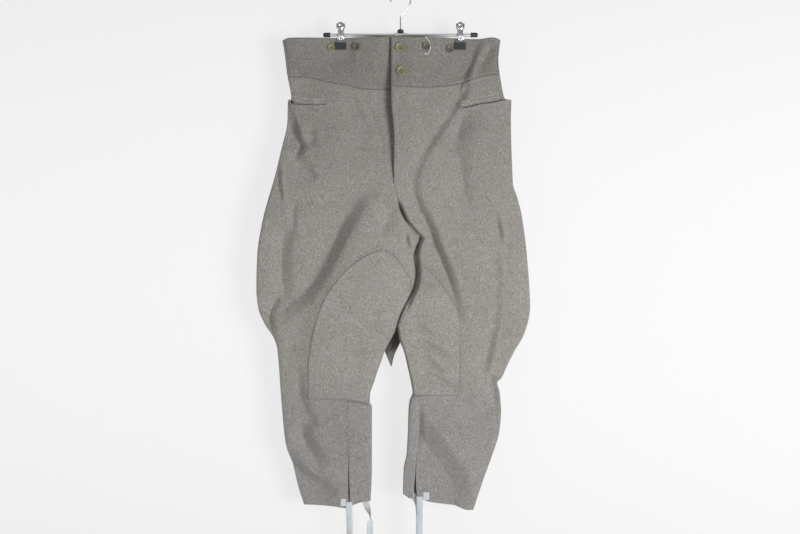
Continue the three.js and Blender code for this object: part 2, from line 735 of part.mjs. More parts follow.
function addClip(name, x) {
  for (const [place, sign] of [['front', -1], ['back', 1]]) {
    const jaw = add(`${name}_${place}_jaw`, plateAlongX(jawOutline(sign), CLIP_WIDTH), 'chrome');
    jaw.position.x = x;
    const pad = add(`${name}_${place}_pad`, plateAlongX(padOutline(sign), PAD_WIDTH), 'black');
    pad.position.x = x;
  }
  const barrel = [[0, -8.5], [4.6, -8.5], [4.6, 8.5], [0, 8.5]];
  addAlongX(`${name}_spring_barrel`, turned(barrel, 24), x, JAW_TOP - 5.5, 'chrome');
}

function addHanger() {
  const bar = [[0, -BAR_HALF], [BAR_RADIUS, -BAR_HALF], [BAR_RADIUS, BAR_HALF], [0, BAR_HALF]];
  addAlongX('hanger_bar', turned(bar), 0, BAR_Z, 'chrome');
  const bore = BAR_RADIUS + SEAM;
  const half = CAP_LENGTH / 2;
  const cap = [
    [0, half], [CAP_RADIUS - 2, half], [CAP_RADIUS, half - 2], [CAP_RADIUS, -half], [bore, -half],
    [bore, half - 3], [0, half - 3],
  ].reverse();
  const capX = BAR_HALF + SEAM - (half - 3);
  addAlongX('hanger_cap_left', turned(cap), capX, BAR_Z, 'black');
  addAlongX('hanger_cap_right', turned(cap), -capX, BAR_Z, 'black').rotation.z = Math.PI / 2;

  const sleeve = ringProfile(bore, SLEEVE_RADIUS, -SLEEVE_LENGTH / 2, SLEEVE_LENGTH / 2);
  addAlongX('hanger_sleeve', turned(sleeve, 24), 0, BAR_Z, 'chrome');
  const ferruleFoot = BAR_Z + SLEEVE_RADIUS + SEAM;
  const ferruleProfile = [[0, 0], [6.5, 0], [6.5, 3.5], [3.5, FERRULE_HEIGHT], [0, FERRULE_HEIGHT]];
  const ferrule = add('hanger_ferrule', turned(ferruleProfile), 'black');
  ferrule.rotation.x = Math.PI / 2;
  ferrule.position.z = ferruleFoot;

  const section = new THREE.Shape();
  section.absarc(0, 0, WIRE_RADIUS, 0, 2 * Math.PI);
  const centre = WIRE_RADIUS - HOOK_RADIUS;
  const stem = [
    [0, ferruleFoot + FERRULE_HEIGHT + SEAM], [0, -66], [0, -57], [2.5, -50], [8.5, -43.5], [14.5, -37],
    [18.4, -30],
  ].map(([x, z]) => new THREE.Vector3(x, 0, z));
  const bend = [];
  for (let degrees = -12; degrees <= 193; degrees += 20.5) {
    const angle = THREE.MathUtils.degToRad(degrees);
    bend.push(new THREE.Vector3(
      HOOK_RADIUS * Math.cos(angle), 0, centre + HOOK_RADIUS * Math.sin(angle)));
  }
  const path = new THREE.CatmullRomCurve3([...stem, ...bend], false, 'centripetal');
  const wire = new THREE.ExtrudeGeometry(section, {
    extrudePath: path, steps: 44, curveSegments: 5, bevelEnabled: false,
  });
  add('hanger_hook', wire, 'chrome');
  addClip('clip_right', -CLIP_X);
  addClip('clip_left', CLIP_X);
}

addHanger();

export default trousers;
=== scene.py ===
"""Uniform trousers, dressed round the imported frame: wool riding breeches that hang from a clip hanger.

Metres, +Z up. The front faces -Y, +X is the wearer's left, and the origin is the inside top of the hanger's hook.
Every cloth piece is a thin shell whose two faces come from one form: TrouserForm works out a point from its side,
its face, the share s of the way from the centre line or inseam (0) to the outline (1), and its height.
"""

import logging
import math
from dataclasses import dataclass
from enum import Enum
from typing import Callable, ClassVar, Sequence

import bpy
import numpy as np
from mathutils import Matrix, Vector


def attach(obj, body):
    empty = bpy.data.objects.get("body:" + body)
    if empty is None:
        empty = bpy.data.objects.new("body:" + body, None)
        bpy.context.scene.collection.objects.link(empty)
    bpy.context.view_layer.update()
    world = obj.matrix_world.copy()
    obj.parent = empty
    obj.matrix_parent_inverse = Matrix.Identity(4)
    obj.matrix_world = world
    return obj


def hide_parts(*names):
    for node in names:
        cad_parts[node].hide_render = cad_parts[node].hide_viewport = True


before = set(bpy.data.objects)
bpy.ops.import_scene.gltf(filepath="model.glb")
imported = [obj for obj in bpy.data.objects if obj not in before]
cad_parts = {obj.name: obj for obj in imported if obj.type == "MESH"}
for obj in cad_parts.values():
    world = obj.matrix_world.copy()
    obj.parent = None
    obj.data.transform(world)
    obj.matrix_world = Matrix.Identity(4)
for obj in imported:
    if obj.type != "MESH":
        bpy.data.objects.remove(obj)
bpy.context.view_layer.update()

log = logging.getLogger("uniform_trousers")
Array = np.ndarray
Rows = Sequence[Sequence[float]]
Span = tuple[float, float]
Triple = tuple[float, float, float]
Object = bpy.types.Object
Material = bpy.types.Material
Tree = bpy.types.NodeTree
Socket = bpy.types.NodeSocket
Outputs = bpy.types.bpy_prop_collection
MM = 0.001
TURN = 2 * math.pi


class Side(Enum):
    """The wearer's two sides."""

    RIGHT = "right"
    LEFT = "left"

    @property
    def out(self) -> int:
        """The sign of X on the way from the centre line to this side's outline."""
        return -1 if self is Side.RIGHT else 1


class Slot(Enum):
    """The record's material slots."""

    WOOL = "wool"
    OLIVE_BUTTON = "olive_button"
    BROWN_BUTTON = "brown_button"
    TAPE = "cotton_tape"
    CHROME = "chrome"
    RUBBER = "black_rubber"


# ---- curves and blends


class Curve:
    """A smooth curve through knots that never overshoots them, held level past both ends."""

    def __init__(self, rows: Rows, column: int = 1) -> None:
        """Sorts the knots and gives each the harmonic mean of its neighbouring slopes.

        Args:
            rows: table rows, whose first number is the place along the curve.
            column: which number of each row is the curve's value.
        """
        knots = np.array(sorted((row[0], row[column]) for row in rows), float)
        self.at, self.value = knots.T
        rise = np.diff(self.value) / np.diff(self.at)
        product = rise[:-1] * rise[1:]
        total = np.where(product > 0, rise[:-1] + rise[1:], 1.0)
        self.slope = np.concatenate([rise[:1], np.where(product > 0, 2 * product / total, 0.0), rise[-1:]])

    def __call__(self, at: Array | float) -> Array:
        """The curve's value: a cubic between knots, from their values and slopes.

        Args:
            at: places along the curve.

        Returns:
            A value for each place.
        """
        x = np.clip(at, self.at[0], self.at[-1])
        i = np.clip(np.searchsorted(self.at, x, side="right") - 1, 0, len(self.at) - 2)
        width = self.at[i + 1] - self.at[i]
        t = (x - self.at[i]) / width
        start = (1 + 2 * t) * (1 - t) ** 2 * self.value[i] + t * (1 - t) ** 2 * width * self.slope[i]
        end = t * t * (3 - 2 * t) * self.value[i + 1] + t * t * (t - 1) * width * self.slope[i + 1]
        return start + end


def ramp(value: Array | float, start: float, end: float) -> Array:
    """0 before start, 1 after end, and smooth between."""
    t = np.clip((np.asarray(value, float) - start) / (end - start), 0, 1)
    return t * t * (3 - 2 * t)


def lerp(a: Array | float, b: Array | float, t: Array | float) -> Array:
    """The point a share t of the way from a to b."""
    return a + (np.asarray(b) - a) * t


def bump(distance: Array, width: float) -> Array:
    """A soft hump of height 1: e to the minus (distance / width) squared."""
    return np.exp(-((distance / width) ** 2))


def crowd(count: int) -> Array:
    """Shares 0 to 1 that crowd towards both ends, by half a cosine."""
    return (1 - np.cos(np.linspace(0, math.pi, count + 1))) / 2


def unit(vectors: Array) -> Array:
    """The same directions at length 1."""
    return vectors / np.maximum(np.linalg.norm(vectors, axis=-1, keepdims=True), 1e-12)


def angles(count: int) -> Array:
    """The angles of evenly spaced points round a ring."""
    return np.arange(count) * TURN / count


def run(points: Array, axis: int = 0) -> Array:
    """The length travelled along lines of points that lie along one axis, from 0 at each line's first point."""
    steps = np.linalg.norm(np.diff(points, axis=axis), axis=-1)
    return np.concatenate([np.zeros_like(steps.take([0], axis)), np.cumsum(steps, axis)], axis)


def smooth_path(points: Rows, steps: int) -> Array:
    """A centripetal Catmull-Rom line through points, with even steps in each stretch.

    Args:
        points: the points that it goes through.
        steps: how many parts each stretch between two points is cut into.

    Returns:
        The line's points, one row each.
    """
    p = np.array(points, float)
    p = np.vstack([2 * p[0] - p[1], p, 2 * p[-1] - p[-2]])
    knot = np.concatenate([[0.0], np.cumsum(np.linalg.norm(np.diff(p, axis=0), axis=1) ** 0.5)])
    t = np.linspace(0, 1, steps, endpoint=False)[None, :]
    k = [knot[i:len(knot) - 3 + i, None] for i in range(4)]
    q = [p[i:len(p) - 3 + i, None, :] for i in range(4)]
    at = k[1] + (k[2] - k[1]) * t

    def between(a: Array, b: Array, start: Array, end: Array) -> Array:
        """The blend of two points over a stretch of the line's own measure."""
        share = ((at - start) / (end - start))[..., None]
        return a + (b - a) * share

    first = [between(q[i], q[i + 1], k[i], k[i + 1]) for i in range(3)]
    second = [between(first[i], first[i + 1], k[i], k[i + 2]) for i in range(2)]
    line = between(second[0], second[1], k[1], k[2]).reshape(-1, p.shape[1])
    return np.vstack([line, p[-2]])


# ---- the garment's tables, as in the part's source

def metres(*rows: float | Sequence[float]) -> Array:
    """Numbers or rows of numbers in millimetres, as an array in metres."""
    return np.array(rows) * MM


# The outline of each side, from the waistband's top corner to the hem.
OUTLINE = {
    Side.RIGHT: Curve(metres((-97, -236), (-126, -231), (-174, -225), (-219.5, -217.5), (-222.2, -224), (-262, -225),
        (-310, -234), (-380, -251), (-461, -273), (-530, -284), (-600, -286), (-636, -282), (-665, -271),
        (-698, -250), (-716, -244.7), (-816, -237), (-906, -227.6), (-948, -214.4), (-988, -204.4), (-1040, -188))),
    Side.LEFT: Curve(metres((-97, 199.5), (-141, 195), (-187, 200.6), (-219.5, 208), (-222.2, 220.6), (-260, 219.6),
        (-386, 222.6), (-418, 232), (-451, 240), (-532, 250.6), (-636, 257), (-662, 253), (-690, 244), (-720, 227),
        (-752, 211), (-774, 201), (-784, 192.5), (-803, 197.5), (-839, 199.8), (-880, 196.2), (-928, 181.8),
        (-978, 164), (-1040, 144))),
}

# The centre line: the fly's edge, the crotch seam, then the valley where the legs touch.
CENTRE = Curve(metres((-93, -18.5), (-222, -18), (-297, -12.5), (-386, -13), (-415, -7.5), (-438, -1), (-461, 11),
        (-478, 26), (-495, 39.5), (-512, 33), (-532, 27), (-562, 30), (-590, 27), (-617, 15), (-640, 3.5), (-668, -7)))
INSEAM = {
    Side.RIGHT: Curve(metres((-668, -7), (-681, -11), (-716, -29), (-746, -40), (-780, -51.5), (-812, -61),
        (-826, -61), (-834, -57), (-949, -57), (-1040, -60.5))),
    Side.LEFT: Curve(metres((-668, -7), (-702, -1.2), (-718, 5.6), (-757, 15), (-789, 21.8), (-805, 24), (-821, 18.2),
        (-837, 16), (-894, 14), (-928, 12), (-960, 6), (-1040, 4))),
}

# Height, half depths of the front and back, and how far the section has closed into a leg (0 to 1).
SECTIONS = ((-0.095, 0.012, 0.012, 0.0), (-0.174, 0.014, 0.015, 0.0), (-0.25, 0.021, 0.022, 0.0),
            (-0.345, 0.033, 0.034, 0.0), (-0.415, 0.038, 0.04, 0.0), (-0.44, 0.0386, 0.041, 0.0),
            (-0.462, 0.039, 0.0416, 0.12), (-0.48, 0.0394, 0.042, 0.5), (-0.497, 0.0398, 0.0424, 1.0),
            (-0.61, 0.04, 0.043, 1.0), (-0.668, 0.036, 0.039, 1.0), (-0.72, 0.03, 0.033, 1.0),
            (-0.78, 0.026, 0.029, 1.0), (-0.88, 0.027, 0.03, 1.0), (-0.96, 0.021, 0.023, 1.0),
            (-1.04, 0.015, 0.016, 1.0))
FRONT_DEPTH, BACK_DEPTH, CLOSED = (Curve(SECTIONS, column) for column in (1, 2, 3))

# Height, and how far the back panel wraps round the right and left outline onto the front.
WRAPS = metres((-200, 3, 3), (-330, 6, 3), (-375, 15, 3), (-418, 26, 12), (-462, 35, 25), (-540, 41, 38),
               (-612, 44, 50), (-640, 24, 51), (-665, 13, 49), (-696, 3, 46), (-740, 3, 33), (-780, 3, 17),
               (-821, 3, 15), (-880, 3, 3))
WRAP = {Side.RIGHT: Curve(WRAPS, 1), Side.LEFT: Curve(WRAPS, 2)}

# Height, the shin seam's place on each side, and half the slit that it opens into at the hem.
SHINS = metres((-800, -107, 43, 0, 0), (-890, -105, 37, 0, 0), (-945, -103, 30.5, 0.3, 0.5),
               (-985, -102.5, 28.5, 1.1, 2.2), (-1036, -101.5, 27, 2.6, 6.2))
SHIN = {Side.RIGHT: Curve(SHINS, 1), Side.LEFT: Curve(SHINS, 2)}
SLIT = {Side.RIGHT: Curve(SHINS, 3), Side.LEFT: Curve(SHINS, 4)}
SHIN_STARTS = -0.81
POCKET_END = {Side.RIGHT: 0.627, Side.LEFT: 0.563}


def across(*rows: Sequence[float]) -> dict[Side, Curve]:
    """Heights of a seam that runs across, from rows of the share s and the height on each side."""
    return {Side.RIGHT: Curve(rows, 1), Side.LEFT: Curve(rows, 2)}


WAIST_TOP = across((0, -0.095, -0.095), (0.5, -0.096, -0.096), (0.8, -0.0965, -0.099),
                   (0.93, -0.097, -0.096), (1, -0.102, -0.101))
WAIST_SEAM = across((0, -0.1995, -0.195), (0.25, -0.2, -0.196), (0.45, -0.191, -0.194),
                    (0.65, -0.184, -0.186), (0.75, -0.178, -0.179), (0.85, -0.175, -0.172), (1, -0.175, -0.169))
MOUTH = across((0.6, -0.231, -0.237), (0.72, -0.2325, -0.23), (0.85, -0.231, -0.2255),
               (0.95, -0.2255, -0.222), (1, -0.221, -0.2216))
# How far each pocket's lower lip hangs below its upper one, over the share.
GAPE = across((0, 0.0014, 0.002), (0.57, 0.0014, 0.0026), (0.68, 0.0016, 0.004), (0.84, 0.0024, 0.0034),
              (0.9, 0.005, 0.0028), (0.95, 0.0075, 0.0024), (0.985, 0.004, 0.002), (1, 0.0016, 0.0016))
KNEE = across((0, -0.827, -0.808), (0.15, -0.821, -0.8085), (0.35, -0.817, -0.809), (1, -0.816, -0.808))
HEM = across((0, -1.02, -1.005), (0.1, -1.021, -1.014), (0.25, -1.027, -1.015), (0.33, -1.034, -1.02),
             (0.55, -1.03, -1.025), (0.72, -1.028, -1.028), (0.92, -1.027, -1.037), (1, -1.027, -1.037))
LEVELS = metres(-252, -280, -312, -345, -372, -384, -398, -430, -462, -480, -497, -526, -541, -560, -585, -612, -640,
                -668, -697, -725, -752, -781)
SHIN_LEVELS = metres(-845, -880, -915, -950, -985)

# Each knee patch: the height and the places x of its inner and outer edge, from the arch's top to the knee seam.
ARCHES = {
    Side.RIGHT: metres((-522, -41, -41), (-526, -24, -56), (-541, -6, -83), (-560, 7, -107), (-585, 19, -129),
                       (-612, 16, -148), (-640, 2, -160), (-668, -10, -169), (-697, -21, -176), (-725, -34, -180),
                       (-752, -44, -183), (-817, -63, -184)),
    Side.LEFT: metres((-546, 34, 34), (-550, 34, 43), (-560, 34, 56), (-585, 31, 79), (-612, 19, 97), (-640, 7, 113),
                      (-668, -4, 118), (-697, 1, 117), (-725, 9, 117), (-752, 15, 117), (-809, 26, 116)),
}


# ---- creases


@dataclass(frozen=True)
class Crease:
    """A soft fold along a line: a valley, with its own reach to each hand, and a crest beyond its steep side.

    Its depth at a distance d from the line is the line's depth there, times e to the minus (d / reach) to the
    power sharp, less the crest, a hump that stands 1.7 reaches off to the right hand. A straight one climbs to the
    right hand in one even slope, as wide as that reach, with its top edge slightly rounded.
    """

    path: Rows  # in millimetres: x, z and the depth there; a negative depth makes a ridge
    left: float  # reach to the left hand, seen from the front, also in millimetres
    right: float  # reach to the right hand
    sharp: float = 2.0
    crest: float = 0.0
    straight: bool = False
    crest_place: float = 1.7
    crest_reach: float = 0.8
    margin: float = 4.0  # in reaches, how far round the line the fold is worked out
    turnover: float = 0.002  # half the width over which one hand's reach passes into the other's

    def depth(self, x: Array, z: Array) -> Array:
        """How deep the fold lies at places x, z.

        Args:
            x: places across.
            z: heights, of the same shape.

        Returns:
            The depth at each place, 0 beyond the fold's reach.
        """
        line = smooth_path(self.path, 6) * MM
        left, right = self.left * MM, self.right * MM
        start, step = line[:-1], np.diff(line, axis=0)
        low = line[:, :2].min(0) - self.margin * max(left, right)
        high = line[:, :2].max(0) + self.margin * max(left, right)
        near = (x > low[0]) & (x < high[0]) & (z > low[1]) & (z < high[1])
        px, pz = x[near][:, None], z[near][:, None]
        off_x, off_z = px - start[:, 0], pz - start[:, 1]
        length = step[:, 0] ** 2 + step[:, 1] ** 2
        t = np.clip((off_x * step[:, 0] + off_z * step[:, 1]) / length, 0, 1)
        gap = np.hypot(off_x - t * step[:, 0], off_z - t * step[:, 1])
        nearest = gap.argmin(axis=1)[:, None]
        distance = np.take_along_axis(gap, nearest, 1)[:, 0]
        here = np.take_along_axis(start[:, 2] + t * step[:, 2], nearest, 1)[:, 0]
        turn = np.take_along_axis(step[:, 0] * off_z - step[:, 1] * off_x, nearest, 1)[:, 0]
        hand = ramp(turn / np.sqrt(length[nearest[:, 0]]), -self.turnover, self.turnover)
        reach = lerp(left, right, hand)
        fold = np.exp(-((distance / reach) ** self.sharp))
        if self.straight:
            short = 1 - distance / right
            fold = lerp(fold, (short + np.sqrt(short ** 2 + 0.02)) / 2.01, hand)
        fold -= self.crest * hand * bump(distance - self.crest_place * right, self.crest_reach * right)
        total = np.zeros_like(x)
        total[near] = here * fold
        return total


@dataclass(frozen=True)
class Ripple:
    """The cloth's own unevenness: a few dozen waves, whose lengths and directions are drawn from one seed."""

    seed: int
    height: float
    shortest: float
    longest: float
    waves: int = 28

    def depth(self, x: Array, z: Array) -> Array:
        """The sum of the waves at places x, z.

        Args:
            x: places across.
            z: heights, of the same shape.

        Returns:
            The depth at each place.
        """
        draw = np.random.default_rng(self.seed)
        angle = draw.uniform(0, math.pi, self.waves)
        length = draw.uniform(self.shortest, self.longest, self.waves)
        phase = draw.uniform(0, TURN, self.waves)
        total = np.zeros_like(x)
        for a, wave, p in zip(angle, length, phase):
            total += np.cos((x * math.cos(a) + z * math.sin(a)) * TURN / wave + p)
        return total * self.height / math.sqrt(self.waves)


# Each crease: its path, and its reach to the left hand and to the right hand.
FRONT_FOLDS = (
    # The broad fold from the crotch across the right thigh, and its tail to the knee tuck.
    Crease([(-54, -394, 1), (-70, -408, 6), (-89, -430, 14.5), (-111, -462, 19.5), (-130, -500, 22.6),
            (-148, -537, 23.6), (-166, -570, 23.2), (-193, -608, 20.5), (-215, -624, 18), (-238, -642, 13),
            (-252, -658, 2)], 55, 24, sharp=1.3, crest=0.1, straight=True),
    # The fold from the waistband's left corner to the waist seam.
    Crease([(160, -98, 1), (149, -118, 6), (137, -147, 8.5), (128, -172, 8), (125, -184, 4)], 30, 8.5, sharp=1.3,
            crest=0.8, straight=True),
    Crease([(186, -104, 0.5), (174, -128, 6), (160, -150, 6), (148, -168, 1)], 7, 16, sharp=1.4, straight=True),
    # Its run below the seam, past the pocket's end to the front of the thigh.
    Crease([(138, -186, 1), (133, -192, 6.6), (124, -208, 8), (108, -232, 7.8), (98, -250, 7), (78, -280, 6.8),
            (56, -313, 6.6), (44, -335, 5.6), (34, -357, 5), (29, -375, 4), (27, -392, 1)], 26, 10.5, sharp=1.25,
            crest=0.2, straight=True),
    # The long fold from beside the fly's end down the left thigh, outside the patch.
    Crease([(25, -366, 1), (25, -392, 4.5), (29, -413, 8.5), (39, -441, 12), (53, -467, 15), (61, -487, 16.5),
            (69, -513, 17.2), (80, -539, 17), (89, -561, 15.5), (97, -584, 13.2), (105, -610, 10), (113, -633, 7),
            (120, -656, 4.6), (130, -694, 1)], 32, 8.5, sharp=1.1, crest=0.2),
    # Two faint creases that run down to the fly's foot.
    Crease([(-68, -204, 0), (-60, -236, 3.2), (-50, -268, 5.6), (-40, -292, 5.6), (-31, -326, 3.6), (-26, -358, 0)],
            14, 6, sharp=1.3),
    Crease([(-100, -206, 0), (-92, -226, 3.6), (-81, -250, 4), (-70, -276, 2.6), (-58, -312, 0)], 16, 7, sharp=1.3),
    # The pocket's folds on the right hip: a ridge from its corner, and the hollow under it.
    Crease([(-225, -228, 2), (-221, -250, 2.2), (-217, -265, 5), (-212.5, -281, 15), (-207, -296, 17.5),
            (-202, -308, 12), (-199, -319, 2)], 20, 9.5, sharp=1.3, crest=0.65, straight=True),
    Crease([(-217, -234, 0), (-210, -252, -2), (-202, -272, -2.6), (-196, -290, 0)], 3.5, 4.5, sharp=1.5),
    Crease([(-166, -298, 0.5), (-176, -303, 8.5), (-189, -308, 11.5), (-200, -316, 15), (-205, -328, 14),
            (-209, -345, 2)], 10, 11, sharp=1.3),
    Crease([(-188, -292, 0), (-178, -284, 3.6), (-166, -272, 0)], 7, 7),
    Crease([(-208, -346, 1), (-194, -354, 7.6), (-180, -366, 8.4), (-164, -384, 0.5)], 12, 9, sharp=1.3),
    Crease([(-243, -345, 0.5), (-243, -366, 5), (-242, -392, 5.6), (-238, -416, 4), (-236, -436, 0)], 14, 5.5,
            sharp=1.3, crest=0.6),
    # The print of the right pocket bag, and the trough from it down to the broad fold.
    Crease([(-203, -418, 1), (-208, -434, 5.2), (-212, -462, 5.6), (-216, -488, 3)], 14, 4.5, sharp=1.2),
    Crease([(-208, -492, 2.4), (-230, -490, 2.4)], 4, 7),
    Crease([(-224, -470, 1), (-231, -494, 12), (-235, -530, 16.5), (-235, -575, 16.5), (-230, -606, 12),
            (-224, -630, 1)], 20, 23, sharp=1.3, straight=True),
    # The tuck where the right leg's flare folds in behind the knee.
    Crease([(-234, -602, 1), (-242, -613, 6.5), (-256, -637, 11), (-260, -660, 11), (-256, -678, 8), (-249, -698, 2)],
            34, 11, sharp=1.3, crest=0.15, straight=True),
    Crease([(-214, -636, 0), (-200, -654, 5.5), (-204, -690, 5), (-222, -724, 0.5)], 20, 24, sharp=1.6),
    # The left hip, under the pocket, and the seams of the left flare.
    Crease([(136, -238, 3), (124, -262, 12.5), (114, -296, 12), (110, -340, 7), (120, -400, 5.4), (132, -456, 0)], 22,
            32, sharp=1.5, straight=True),
    Crease([(114, -330, 0), (121, -352, 3.4), (126, -388, 3.8), (132, -420, 3), (140, -446, 0)], 13, 6.5, sharp=1.3),
    Crease([(184, -436, 0), (191, -466, 5.2), (195, -486, 6.6), (198, -508, 1)], 12, 5, sharp=1.3, crest=0.4),
    Crease([(186, -520, 0), (189, -552, 3), (190, -584, 2.6), (189, -640, 3.4), (185, -668, 4.2), (180, -694, 5),
            (172, -730, 5.4), (166, -760, 4.6), (165, -778, 1)], 22, 7, sharp=1.25, crest=0.45),
    Crease([(174, -764, 1), (181, -776, 8.5), (185, -796, 9.5), (188, -822, 6.5), (192, -845, 0)], 14, 7.5, sharp=1.25
            ),
    Crease([(200, -508, 0), (216, -510, 1.8), (226, -510, 0)], 8, 8),
    Crease([(200, -548, 0), (214, -552, 1.5), (228, -550, 0)], 8, 8),
    # The crotch, where the thighs begin to part, and its small creases.
    Crease([(-6, -420, 1), (-4.5, -428, 8), (-1, -438, 18), (5, -452, 18), (12.5, -466, 14), (18.5, -473, 11),
            (30, -488, 12), (38, -498, 10)], 2.2, 4.6, sharp=2.6),
    # The trench beside the right thigh's edge, from the crotch to where the thighs touch.
    Crease([(41, -497, 4), (34, -512, 13), (31, -532, 15), (34, -562, 15), (31, -588, 13.5), (19, -617, 8),
            (9, -640, 1)], 4.4, 5.2, sharp=4.0),
    Crease([(-12, -428, 0), (-20, -452, 4.2), (-30, -474, 5), (-38, -500, 0)], 12, 8, sharp=1.4),
    Crease([(11.5, -484, 1), (12, -496, 8.5), (14.5, -510, 7.5), (19, -522, 1)], 5, 4, sharp=1.4, crest=0.3),
    # The right calf.
    Crease([(-203, -742, 1), (-202, -770, 6.5), (-201, -800, 8.5), (-196, -818, 9.5), (-187, -841, 9),
            (-175, -860, 6), (-166, -872, 1)], 24, 13.5, sharp=1.3, straight=True),
    Crease([(-197, -856, 2), (-197, -872, 12), (-195, -885.5, 16.5), (-189, -905.5, 19), (-180, -919.5, 17.5),
            (-171, -933, 14), (-163, -949, 9), (-156, -968, 1)], 17, 22, sharp=1.25, crest=0.1, straight=True),
    Crease([(-226, -928, 7), (-214, -946, 16), (-196, -966.5, 20), (-174, -981, 17.5), (-148, -994, 11),
            (-123, -1004.5, 0)], 16, 17, sharp=1.1, crest=0.3, straight=True),
    # The left calf: one flat plane that turns down to the inseam along a long sharp diagonal.
    Crease([(46, -838, -3), (64, -866, -8), (80, -885, -11), (99, -911, -12.5), (122, -940, -12.5), (138, -966, -11),
            (145, -995, -8)], 50, 40, sharp=1.0),
    Crease([(28, -858, 1), (42, -888, 9), (60, -917, 13), (83, -948, 13), (101, -975, 11), (108, -1008, 8)], 110, 34,
            sharp=1.2, crest=0.05, straight=True),
    Crease([(36, -818, 1), (38, -850, 5), (37, -885, 4.5), (37, -910, 0)], 8, 10, sharp=1.4, straight=True),
    # Shallow wrinkles of the knees.
    Crease([(-84, -624, 0), (-56, -642, 4.5), (-24, -644, 0)], 7, 8),
    Crease([(-100, -648, 0), (-66, -666, 4.5), (-34, -668, 0)], 7, 9),
    Crease([(-126, -698, 0), (-90, -716, 4), (-56, -714, 0)], 8, 10),
    Crease([(16, -664, 0), (40, -676, 8), (72, -694, 0)], 6, 7),
    Crease([(20, -694, 0), (58, -712, 8.5), (100, -736, 0)], 7, 7),
    Crease([(34, -728, 0), (60, -745, 8), (84, -766, 0)], 6, 7),
    Crease([(36, -758, 0), (74, -777, 8), (118, -802, 0)], 7, 7),
)

# Height, how far the right front lies back beside the fly's free edge, how wide that hollow is, and how far the
# edge itself stands up over it.
FLY = metres((-95, 3.8, 13, 3), (-130, 5, 16, 3.4), (-160, 7, 23, 4.4), (-195, 10.4, 36, 6.4), (-225, 12, 40, 7),
             (-260, 11.2, 36, 6), (-300, 9.2, 26, 4.6), (-335, 6.8, 17, 3.6), (-365, 3.8, 10, 2.6),
             (-384, 1.2, 5, 1.4), (-392, 0, 3, 0))
FLY_DEPTH, FLY_REACH, FLY_RISE = (Curve(FLY, column) for column in (1, 2, 3))

BACK_FOLDS = (
    Crease([(-70, -430, 1), (-104, -474, 6), (-140, -520, 8), (-176, -566, 6), (-200, -600, 1)], 24, 30, sharp=1.7,
            crest=0.15),
    Crease([(60, -430, 1), (92, -474, 6), (130, -520, 8), (164, -566, 6), (190, -600, 1)], 30, 24, sharp=1.7,
            crest=0.15),
    Crease([(-200, -850, 1), (-170, -872, 4), (-140, -890, 4), (-120, -905, 1)], 14, 18),
    Crease([(170, -860, 1), (140, -880, 4), (112, -898, 4), (90, -915, 1)], 18, 14),
    Crease([(-150, -180, 0), (-128, -230, 3), (-96, -290, 3.5), (-70, -340, 0)], 20, 14, crest=0.2),
    Crease([(132, -190, 0), (116, -250, 3), (88, -316, 3), (66, -362, 0)], 14, 22, crest=0.2),
    Crease([(-30, -430, 0), (-52, -500, 4), (-80, -566, 4), (-110, -630, 0)], 14, 18),
    Crease([(48, -470, 0), (70, -540, 4), (100, -610, 3), (128, -668, 0)], 16, 14),
    Crease([(-226, -640, 0), (-190, -672, 4.5), (-150, -700, 3.5), (-110, -716, 0)], 14, 18, crest=0.2),
    Crease([(214, -660, 0), (176, -696, 4.5), (132, -724, 3), (92, -736, 0)], 16, 14, crest=0.2),
)

FRONT_RIPPLES = (Ripple(seed=3, height=0.0009, shortest=0.06, longest=0.16),
                 Ripple(seed=5, height=0.00022, shortest=0.014, longest=0.034, waves=60))
BACK_RIPPLES = (Ripple(seed=7, height=0.0011, shortest=0.06, longest=0.16),
                Ripple(seed=9, height=0.00022, shortest=0.014, longest=0.034, waves=60))


# ---- the garment's form


